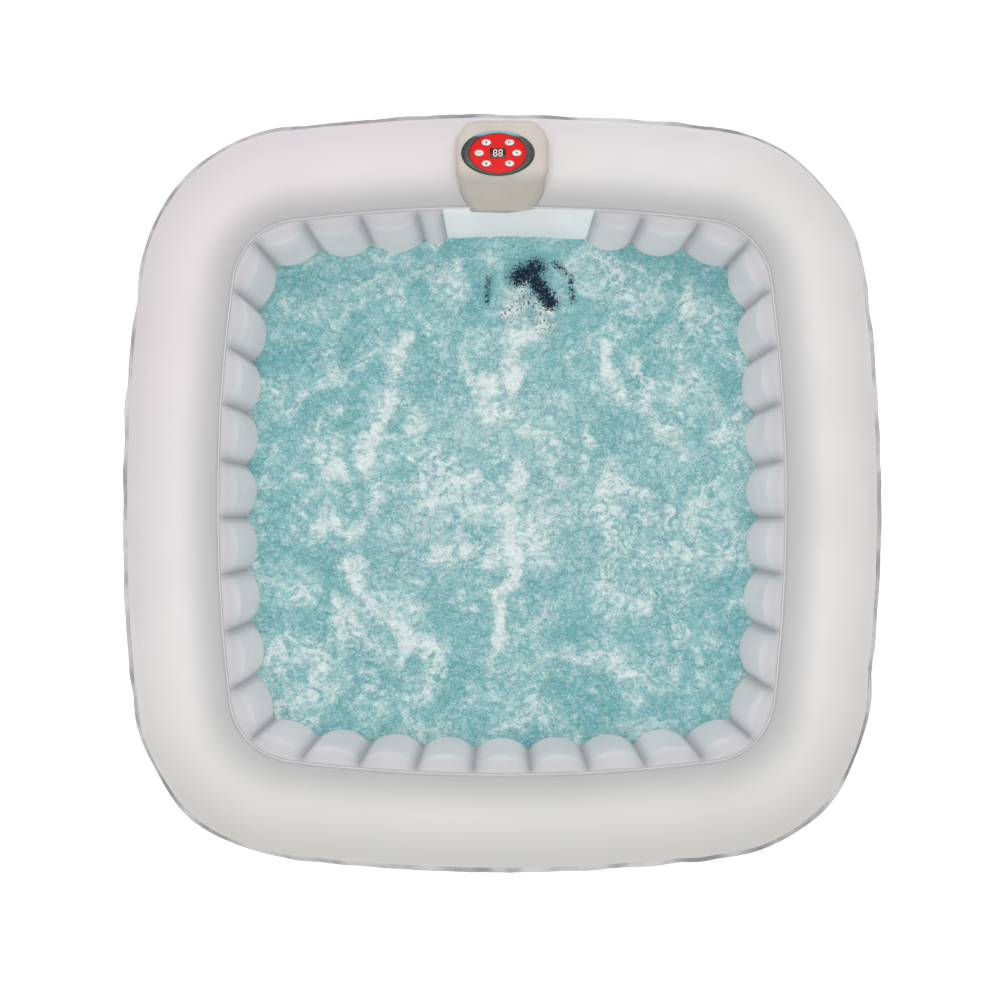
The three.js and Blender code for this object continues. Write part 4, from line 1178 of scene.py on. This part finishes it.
cover_outline = rounded_outline(*COVER_CORNERS, radius=13)
plate_shape = flat_shape("service_plate", cover_outline, -BACK, -COVER_FRONT, cover, upright)
rounded(plate_shape, 0.0012)
slot_levels = [440 + i * LOUVRE_PITCH for i in range(LOUVRES)]
slots = [box_piece("slot", (60, 760, z), (150, 790, z + 6), cover) for z in slot_levels]
screw_places = [(x, z) for x in (-103, 171) for z in (49, 527)]
screw_holes = [hole_y("hole", 2.6, x, z, 765, 785) for x, z in screw_places]
cut(plate_shape, *slots, *screw_holes, hole_y("gland_hole", 11, -70, 110, 760, 790))

# %% Louvres and ribs by rule
blade = rounded(box_piece("blade", (-47, -0.7, -5), (47, 0.7, 5), cover), 0.0005)
blade_places = [Matrix.Translation((0.105, (BACK + 2.6) * MM, (z + 6.5) * MM))
                @ Matrix.Rotation(math.radians(38), 4, "X") for z in slot_levels]
louvres = repeat("louvres", blade, blade_places)
rib = rounded(box_piece("rib", (-96, -1, -1.3), (96, 1, 1.3), cover), 0.0007)
rib_places = [Matrix.Translation((0.045, BACK * MM, (170 + i * RIB_PITCH) * MM)) for i in range(RIBS)]
ribs = repeat("ribs", rib, rib_places)
keep(joined("service_plate", [plate_shape, louvres, ribs]), "tub", "cover_plastic", "service_cover")

# %% Screws by rule
screw = turned("screw", [(0, -24), (2.3, -24), (2.3, 0.3), (5, 0.3), (5, 1.3), (4.2, 2.4), (2.6, 2.95),
                         (0, 3.1)], steel, steps=28)
for turn in (0, 90):
    bar_cutter = box_piece("bar", (-2.6, 1.6, -0.5), (2.6, 5, 0.5), steel,
                           Matrix.Rotation(math.radians(turn), 4, "Y"))
    cut(screw, bar_cutter)
screws = repeat("cover_screws", screw,
                [Matrix.Translation((x * MM, BACK * MM, z * MM)) for x, z in screw_places])
keep(screws, "tub", "steel", *[f"service_screw_{i}" for i in range(1, 5)])

# %% Gland
gland_place = Matrix.Translation((-0.070, BACK * MM, 0.110))
nut = turned("nut", [(10.8, 0.3), (14, 0.3), (15, 1.1), (15, 4.2), (14, 5), (10.8, 5)], black, gland_place, 6)
sleeve = turned("sleeve", [(5, -16), (10.7, -16), (10.7, 8.4), (10.2, 10), (8.6, 11.2), (5, 11.2)], black,
                gland_place, 40)
seal = turned("seal", [(5, 11.2), (8.2, 11.2), (8, 12), (6, 12.4), (5, 12)], rubber, gland_place, 40)
keep(joined("lead_gland", [nut, sleeve, seal]), "tub", "pump_black", "cable_gland")

# %% [markdown]
# ## Valves
# Air goes in through a valve on the outer wall and water goes out through a drain near its foot. Both caps
# are gripped by hand, so their edges are ribbed. The ribs are one small block repeated round a circle.

# %% Ribs round a cap
def around(place, radius, along, count):
    """Places on a circle about the local Y axis, each facing outwards."""
    return [place @ Matrix.Rotation(2 * math.pi * i / count, 4, "Y")
            @ Matrix.Translation((radius * MM, along * MM, 0)) for i in range(count)]


def ribbed(name, cap, place, radius, low, high, count):
    """A cap with grips round its edge."""
    material = cap.data.materials[0]
    grip = box_piece("grip", (-0.8, (low - high) / 2, -0.7), (0.7, (high - low) / 2, 0.7), material)
    grips = repeat("grips", rounded(grip, 0.0003), around(place, radius, (low + high) / 2, count))
    return joined(name, [cap, grips])


# %% Inflation valve
valve = turned("air_valve_seat", [(7, -24), (16, -24), (16, 0.6), (25, 0.6), (26, 1.3), (26, 2.8), (24.6, 4),
                                  (12.5, 4), (11.5, 3.2), (11.5, -20), (7, -20)], cover, valve_place)
keep(valve, "tub", "cover_plastic", "air_valve_body")
plunger = turned("valve_plunger", [(0, -22), (6, -22), (6, -14), (11, -14), (11, -9.6), (10.4, -9), (4, -9),
                                   (4, 1.2), (3.4, 2), (0, 2)], housing, valve_place, 48)
keep(plunger, "air_plunger", "housing_plastic", "air_valve_plunger")
cap = turned("cap", [(0, 9), (15, 9), (15, 4.4), (19.4, 4.4), (20, 5), (20, 10.7), (18.8, 11.9), (12, 12.2),
                     (11.4, 11.6), (0, 11.6)], cover, valve_place)
cap = ribbed("valve_cap", cap, valve_place, 20, 5.2, 10.4, 28)
keep(cap, "air_cap", "cover_plastic", "air_valve_cap")

# %% Drain
INSIDE = -240.0
drain = turned("drain_passage", [(12.5, INSIDE), (16, INSIDE), (16, 0.6), (23, 0.6), (24, 1.3), (24, 2.8),
                                 (22.8, 4), (12.5, 4)], cover, drain_place)
keep(drain, "tub", "cover_plastic", "drain_pipe")
cap = turned("cap", [(0, -6), (12, -6), (12, 4.4), (19.4, 4.4), (20, 5), (20, 8), (18.8, 9.2), (9, 9.4),
                     (8.4, 8.9), (0, 8.9)], cover, drain_place)
cap = ribbed("drain_cap_ribbed", cap, drain_place, 20, 5.2, 7.8, 28)
keep(cap, "drain_cap", "cover_plastic", "drain_cap")
plug = turned("drain_stopper", [(0, INSIDE - 5), (17, INSIDE - 5), (18, INSIDE - 4.2), (18, INSIDE - 0.3),
                                (12, INSIDE - 0.3), (12, INSIDE + 11), (11, INSIDE + 12), (0, INSIDE + 12)],
              rubber, drain_place, 48)
keep(plug, "drain_plug", "cover_plastic", "drain_plug")

# %% [markdown]
# ## Filter and nozzle
# Inside the tub a slotted cover stands over a pleated cartridge, and a ring with finger grips locks it to its
# base. A pleat is a wedge of paper, so the whole cartridge is sixty wedges round a core.

# %% Filter
GAP = 0.3
PIPE_END = 606
PLEATS = 60


def on_panel(x, z):
    """The axis of a fitting on the smooth panel, and how far along it the panel's face is in millimetres."""
    face = float(unit_side_y(x * MM, SEAM_INSET + VALLEY)) * TO_MM - GAP
    return Matrix.Translation((x * MM, 0, z * MM)), face


wet, face = on_panel(*FILTER_AT)
base = turned("filter_seat", [(17, face - 34), (22, face - 34), (22, face - 8), (66.8, face - 8),
                              (68, face - 6.8), (68, face), (24.8, face), (24.8, PIPE_END),
                              (17, PIPE_END)], navy, wet, 96)
keep(base, "tub", "filter_navy", "filter_base")
back = face - 8.3
pleat = flat_shape("pleat", [(28, -1.35), (47.8, -0.25), (47.8, 0.25), (28, 1.35)], -40, 40, paper, upright)
pleats = repeat("pleats", pleat, around(wet, 0, back - 52, PLEATS))
core = turned("core", [(26.5, back - 92), (28.4, back - 92), (28.4, back - 12), (26.5, back - 12)],
              paper, wet)
keep(joined("pleated_cartridge", [pleats, core]), "cartridge", "filter_paper", "filter_cartridge")
for name, low, high in (("back", back - 11.7, back - 2), ("front", back - 102, back - 92.3)):
    profile = [(22.4, low), (48.6, low), (50, low + 1.4), (50, high - 1.4), (48.6, high), (22.4, high)]
    end_cap = turned(f"end_cap_{name}", profile, cap_blue, wet)
    keep(end_cap, "cartridge", "filter_blue", f"filter_end_cap_{name}")
cup = turned("slotted_cover", [(0, back - 112), (54, back - 112), (59.5, back - 110.6), (62, back - 106),
                               (62, back), (59, back), (59, back - 108), (0, back - 108)], navy, wet, 96)
slots = [box_piece("slot", (-6, back - 95, -72), (6, back - 25, 72), navy,
                   wet @ Matrix.Rotation(i * math.pi / 4, 4, "Y")) for i in range(4)]
keep(cut(cup, *slots), "filter_cover", "filter_navy", "filter_cover")
lock = turned("lock", [(64, back - 14), (66.8, back - 14), (68, back - 12.8), (68, back - 1.2), (66.8, back),
                       (64, back)], navy, wet, 96)
lock = ribbed("locking_ring", lock, wet, 68, back - 12.4, back - 1.6, 24)
keep(lock, "filter_ring", "filter_navy", "filter_locking_ring")

# %% Return nozzle
jet, face = on_panel(*NOZZLE_AT)
nozzle = turned("nozzle", [(11, face - 14), (14.8, face - 14), (16, face - 12.8), (16, face - 6),
                           (28.8, face - 6), (30, face - 4.8), (30, face), (16, face), (16, PIPE_END),
                           (11, PIPE_END)], navy, jet)
vane = box_piece("vane", (-10.9, -1.2, -0.6), (10.9, 1.2, 0.6), navy)
vanes = repeat("vanes", vane, [jet @ Matrix.Translation((0, (face - 11) * MM, 0))
                               @ Matrix.Rotation(math.radians(a), 4, "Y") for a in (0, 60, 120)])
keep(joined("return_jet", [nozzle, vanes]), "tub", "filter_navy", "return_nozzle")

# %% [markdown]
# ## Air channel
# The bubbles come from a flat channel welded to the floor all the way round, with a raised nipple every few
# centimetres. The nipples follow the channel's path, so they are placed by the plan and repeated by rule.

# %% Channel and nipples
CHANNEL_TOP = 0.019
NIPPLES = 96
channel = sweep("air_channel", [(0.246, 0.007), (0.246, 0.0165), (0.2485, CHANNEL_TOP), (0.2655, CHANNEL_TOP),
                                (0.268, 0.0165), (0.268, 0.007)], lining)
nipple = turned("nipple", [(1, 0), (3.4, 0), (2.6, 1.4), (1, 1.4)], lining, upright, 10)
nipple_x, nipple_y = plan(np.arange(NIPPLES) / NIPPLES * perimeter, 0.257)
nipples = repeat("nipples", nipple,
                 [Matrix.Translation((a, b, CHANNEL_TOP)) for a, b in zip(nipple_x, nipple_y)])
keep(joined("air_channel", [channel, nipples]), "tub", "lining", "bubble_channel")

# %% [markdown]
# ## Machinery
# Behind the cover the CAD shapes are right as they are: pump, heater, blower, pipes and boards. They keep
# their meshes and get the finishes that such parts have, which costs nothing and can't shift them.

# %% Finishes for the CAD's own pieces
MACHINERY = {
    vinyl: ["brace_webs"],
    housing: ["unit_housing", "heater_bracket", "pump_cradle"],
    display: ["display_module", "blower_fan"],
    board: ["control_board", "power_board"],
    black: ["pump_casing", "pump_motor", "blower_casing", "blower_motor"],
    steel: ["pump_impeller", "heater_tube", "heater_element", "temperature_probe"],
    hose: ["suction_pipe", "heater_feed_pipe", "return_pipe", "bubble_air_hose", "bubble_elbow"],
}
for material, names in MACHINERY.items():
    for name in names:
        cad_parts[name].material_slots[0].material = material
print(sum(map(len, MACHINERY.values())), "CAD pieces keep their shape")

# %% [markdown]
# ## Water
# The tub is full and bubbling. Real water is clear, but with the air channel running it is full of fine
# bubbles and lies under torn foam, so it hides the floor and takes a milky turquoise of its own. A surface
# with real waves, coloured by rule, holds up from every side better than clear glass over a dark floor. It
# is opaque, so the filter below is hinted at by a dark blue mark on the water.

# %% The water's outline and grid
LEVEL = 0.425
distance, bulge = columns(24, panel_to, panel_from + perimeter)
x, y = plan(distance, SEAM_INSET + VALLEY + bulge + 0.0006)
panel_edge = (panel_y - panel_swell(LEVEL) - 0.0006)[::-1]
edge = np.stack([np.append(x[:-1], panel_x[::-1]), np.append(y[:-1], panel_edge)], -1)
edge_angle = np.unwrap(np.arctan2(edge[:, 1], edge[:, 0]))
edge_reach = np.hypot(edge[:, 0], edge[:, 1])
order = np.argsort(np.mod(edge_angle, 2 * np.pi))
edge_angle, edge_reach = np.mod(edge_angle, 2 * np.pi)[order], edge_reach[order]
CELLS = 280
side = np.linspace(-1, 1, CELLS + 1)
u, v = np.meshgrid(side, side, indexing="ij")
angle = np.mod(np.arctan2(v, u), 2 * np.pi)
reach = np.maximum(np.abs(u), np.abs(v)) * np.interp(angle, edge_angle, edge_reach, period=2 * np.pi)
water_x, water_y = reach * np.cos(angle), reach * np.sin(angle)
print("water", CELLS, "cells across, edge points", len(edge))

# %% Where the foam lies
# Each streak: points, width and strength, in metres, as the jets and the rising air lay it down.
STREAKS = [
    ([(-0.030, 0.236), (0.022, 0.246)], 0.020, 1.25), ([(0.022, 0.246), (0.040, 0.262)], 0.012, 0.8),
    ([(0.020, 0.415), (0.030, 0.365), (0.075, 0.352), (0.105, 0.382), (0.100, 0.410)], 0.022, 0.75),
    ([(0.035, 0.345), (0.022, 0.300)], 0.020, 0.55), ([(0.040, 0.420), (0.052, 0.470)], 0.020, 0.35),
    ([(-0.222, 0.352), (-0.205, 0.345)], 0.014, 0.75),
    ([(-0.228, 0.330), (-0.236, 0.270), (-0.262, 0.190), (-0.292, 0.110), (-0.310, 0.060)], 0.016, 0.62),
    ([(-0.310, 0.060), (-0.275, -0.020), (-0.330, -0.100)], 0.016, 0.38),
    ([(0.234, 0.336), (0.236, 0.268)], 0.009, 1.05), ([(0.236, 0.268), (0.272, 0.222)], 0.018, 0.60),
    ([(0.036, 0.058), (0.048, 0.040), (0.026, 0.012)], 0.016, 1.05),
    ([(0.095, 0.070), (0.140, 0.010)], 0.020, 0.35), ([(0.010, -0.040), (0.026, -0.150)], 0.016, 0.50),
    ([(0.030, -0.150), (0.030, -0.205), (-0.008, -0.225), (-0.002, -0.268), (-0.008, -0.345)], 0.013, 1.0),
    ([(-0.345, -0.160), (-0.330, -0.205), (-0.280, -0.270), (-0.210, -0.330), (-0.130, -0.350)], 0.016, 0.62),
    ([(-0.350, -0.260), (-0.300, -0.330), (-0.240, -0.375)], 0.022, 0.38),
    ([(0.320, 0.200), (0.350, 0.140), (0.420, 0.080)], 0.020, 0.38),
    ([(0.390, 0.300), (0.450, 0.240), (0.500, 0.130)], 0.032, 0.34),
    ([(0.250, -0.230), (0.310, -0.260)], 0.020, 0.42), ([(0.150, -0.370), (0.320, -0.410)], 0.020, 0.30),
    ([(-0.100, 0.130), (0.000, 0.190), (0.120, 0.120)], 0.040, 0.26),
    ([(-0.200, -0.080), (-0.080, 0.020), (0.080, -0.060)], 0.050, 0.22),
    ([(-0.180, -0.120), (0.150, -0.060)], 0.190, 0.20), ([(-0.100, 0.260), (0.300, 0.160)], 0.110, 0.12),
    ([(-0.470, 0.400), (-0.380, 0.430)], 0.030, 0.25), ([(-0.440, 0.120), (-0.380, 0.060)], 0.030, 0.25),
    ([(0.330, 0.440), (0.430, 0.420)], 0.028, 0.25), ([(-0.450, -0.350), (-0.360, -0.440)], 0.030, 0.22),
]


def nearness(points, width):
    """1 on a line of points, falling to 0 away from it."""
    best = np.full(water_x.shape, np.inf)
    for (ax, ay), (bx, by) in zip(points[:-1], points[1:]):
        length = (bx - ax) ** 2 + (by - ay) ** 2
        t = np.clip(((water_x - ax) * (bx - ax) + (water_y - ay) * (by - ay)) / length, 0, 1)
        best = np.minimum(best, np.hypot(water_x - ax - t * (bx - ax), water_y - ay - t * (by - ay)))
    return np.exp(-((best / width) ** 2))


foam = np.zeros_like(water_x)
for points, width, strength in STREAKS:
    foam = foam + strength * nearness(points, width)
# The filter's mark: its body, the rings beside it and the speckles in front of it.
MARK = [
    ([(0.040, 0.482), (0.075, 0.500)], 0.030, 1.0), ([(0.075, 0.475), (0.108, 0.425)], 0.024, 1.0),
    ([(0.120, 0.515), (0.155, 0.485), (0.160, 0.430)], 0.011, 0.62),
    ([(-0.028, 0.480), (-0.035, 0.430)], 0.012, 0.62),
    ([(0.020, 0.400), (0.060, 0.430), (0.100, 0.380)], 0.040, 0.40),
]
dark = np.max([strength * nearness(points, width) for points, width, strength in MARK], axis=0)

# %% The surface and its body
WATER_DEPTH = 0.03
index = np.arange((CELLS + 1) ** 2).reshape(CELLS + 1, CELLS + 1)
top = np.stack([index[:-1, :-1], index[1:, :-1], index[1:, 1:], index[:-1, 1:]], -1).reshape(-1, 4)
rim_loop = np.concatenate([index[:-1, 0], index[-1, :-1], index[:0:-1, -1], index[0, :0:-1]])
below = len(index.ravel()) + np.arange(len(rim_loop))
skirt = np.stack([rim_loop, np.roll(rim_loop, -1), np.roll(below, -1), below], -1)[:, ::-1]
points = np.stack([water_x.ravel(), water_y.ravel(), np.full(water_x.size, LEVEL)], -1)
bottom = points[rim_loop] * (1, 1, 0) + (0, 0, LEVEL - WATER_DEPTH)
mesh = bpy.data.meshes.new("water")
mesh.from_pydata(np.vstack([points, bottom]).tolist(), [],
                 [*top.tolist(), *skirt.tolist(), below[::-1].tolist()])
for label, values in (("foam", foam), ("dark", dark)):
    mark_points(mesh, label, np.append(values.ravel(), np.zeros(len(below))))

# %% Waves by rule
waves, given, out = rule("choppy_water", dict.fromkeys(("Wave Height", "Wave Size", "Boil", "Seed"), float))
flow = put(waves, "GeometryNodeInputPosition").outputs[0]


def chop(size_share, detail, seed_shift):
    """A wave height of one size."""
    scale = maths(waves, "DIVIDE", size_share, given["Wave Size"])
    seed = maths(waves, "ADD", given["Seed"], seed_shift)
    inputs = {"Vector": flow, "W": seed, "Scale": scale, "Detail": detail}
    fac = put(waves, "ShaderNodeTexNoise", inputs, noise_dimensions="4D").outputs[0]
    return maths(waves, "SUBTRACT", fac, 0.5)


foam_here = put(waves, "GeometryNodeInputNamedAttribute", {"Name": "foam"}, data_type="FLOAT").outputs[0]
swell = chop(1.0, 2.0, 0.0)
ripple = maths(waves, "MULTIPLY", chop(4.5, 3.0, 7.0), 0.42)
froth = maths(waves, "MULTIPLY", chop(14.0, 3.0, 13.0), maths(waves, "MULTIPLY", foam_here, given["Boil"]))
sum_height = maths(waves, "ADD", maths(waves, "ADD", swell, ripple), froth)
lift = maths(waves, "MULTIPLY", sum_height, given["Wave Height"])
height = put(waves, "ShaderNodeSeparateXYZ", {0: flow}).outputs[2]
is_top = maths(waves, "GREATER_THAN", height, LEVEL - 0.01)
offset = put(waves, "ShaderNodeCombineXYZ", {2: maths(waves, "MULTIPLY", lift, is_top)}).outputs[0]
moved = put(waves, "GeometryNodeSetPosition", {"Geometry": given["Geometry"], "Offset": offset})
waves.links.new(moved.outputs[0], out)

# %% [markdown]
# ### Water's colour
# Bubbling water is mottled at every size. Slow clouds of deeper and paler turquoise come first, then finer
# mottling, then single bubbles a few millimetres wide, light and dark. The foam map adds the white streaks,
# and noise tears their edges. Foam is rough and white and the water between stays glossy.

# %% Water's colour and gloss
water_finish = finish("turquoise_water", (0.20, 0.53, 0.55), (0.33, 0.66, 0.67), 0.12, 0.09, 0.004, 0.0004,
                      swing=0.05, IOR=1.33)
tree, body, surface, bump = parts_of(water_finish)
flat = put(tree, "ShaderNodeMapping", {"Vector": object_place(tree), "Scale": (1, 1, 0)}).outputs[0]
foam_map = put(tree, "ShaderNodeAttribute", attribute_name="foam").outputs["Fac"]
dark_map = put(tree, "ShaderNodeAttribute", attribute_name="dark").outputs["Fac"]
patches = noise(tree, 6.5, 6, flat, 1.1, 0.66)
wisps = noise(tree, 24, 6, flat, 1.6, 0.68)
mottle = noise(tree, 62, 5, flat, 0.9, 0.72)
bubbles = noise(tree, 190, 3, flat, 0.4, 0.75)
cells = put(tree, "ShaderNodeTexVoronoi", {"Vector": flat, "Scale": 150}).outputs[0]

ragged = maths(tree, "MULTIPLY", foam_map, faded(tree, wisps, 0.34, 0.62, 0.35, 1.35))
drifting = faded(tree, patches, 0.42, 0.64, 0, 0.75)
torn = maths(tree, "MULTIPLY", drifting, faded(tree, wisps, 0.38, 0.66, 0.1, 1.2))
fizz = maths(tree, "MULTIPLY", maths(tree, "SUBTRACT", bubbles, 0.5), 1.6)
mottling = maths(tree, "MULTIPLY", maths(tree, "SUBTRACT", mottle, 0.5), 1.2)
coverage = maths(tree, "ADD", maths(tree, "ADD", ragged, torn), maths(tree, "ADD", fizz, mottling))
amount = faded(tree, coverage, -0.22, 1.10)
holes = maths(tree, "MULTIPLY", faded(tree, cells, 0.30, 0.12, 0, 0.5), faded(tree, foam_map, 0.1, 0.5))
amount = maths(tree, "SUBTRACT", amount, maths(tree, "MULTIPLY", holes, amount), clamp=True)

deep = mixed(tree, faded(tree, mottle, 0.60, 0.36, 0, 0.5), surface.outputs["Color"], (0.115, 0.385, 0.41))
deep = mixed(tree, faded(tree, patches, 0.56, 0.34, 0, 0.45), deep, (0.125, 0.42, 0.445))
deep = mixed(tree, faded(tree, bubbles, 0.56, 0.68, 0, 0.5), deep, (0.55, 0.83, 0.84))
seen_dark = maths(tree, "ADD", dark_map, maths(tree, "MULTIPLY", fizz, 1.6))
seen_dark = maths(tree, "ADD", seen_dark, maths(tree, "MULTIPLY", mottling, 1.2))
seen_dark = maths(tree, "MULTIPLY", faded(tree, seen_dark, 0.30, 0.85), faded(tree, dark_map, 0.05, 0.3))
pale = mixed(tree, maths(tree, "MULTIPLY", amount, 0.95), deep, (0.90, 0.985, 0.98))
final = mixed(tree, seen_dark, pale, (0.005, 0.014, 0.040))
tree.links.new(final, body.inputs["Base Color"])
# Painted light: the water gives off some of its own colour, which lifts it out of the tub's shade.
tree.links.new(final, body.inputs["Emission Color"])
body.inputs["Emission Strength"].default_value = 0.13
tree.links.new(maths(tree, "ADD", 0.08, maths(tree, "MULTIPLY", amount, 0.45)), body.inputs["Roughness"])
tree.links.new(maths(tree, "ADD", bubbles, maths(tree, "MULTIPLY", mottle, 2.0)), bump.inputs["Height"])
bump.inputs["Distance"].default_value = 0.005
water = as_object("water", mesh, water_finish)
water = follow(water, waves, water_finish, Wave_Height=0.016, Wave_Size=0.16, Boil=0.5, Seed=3.0)
keep(water, "tub", None)
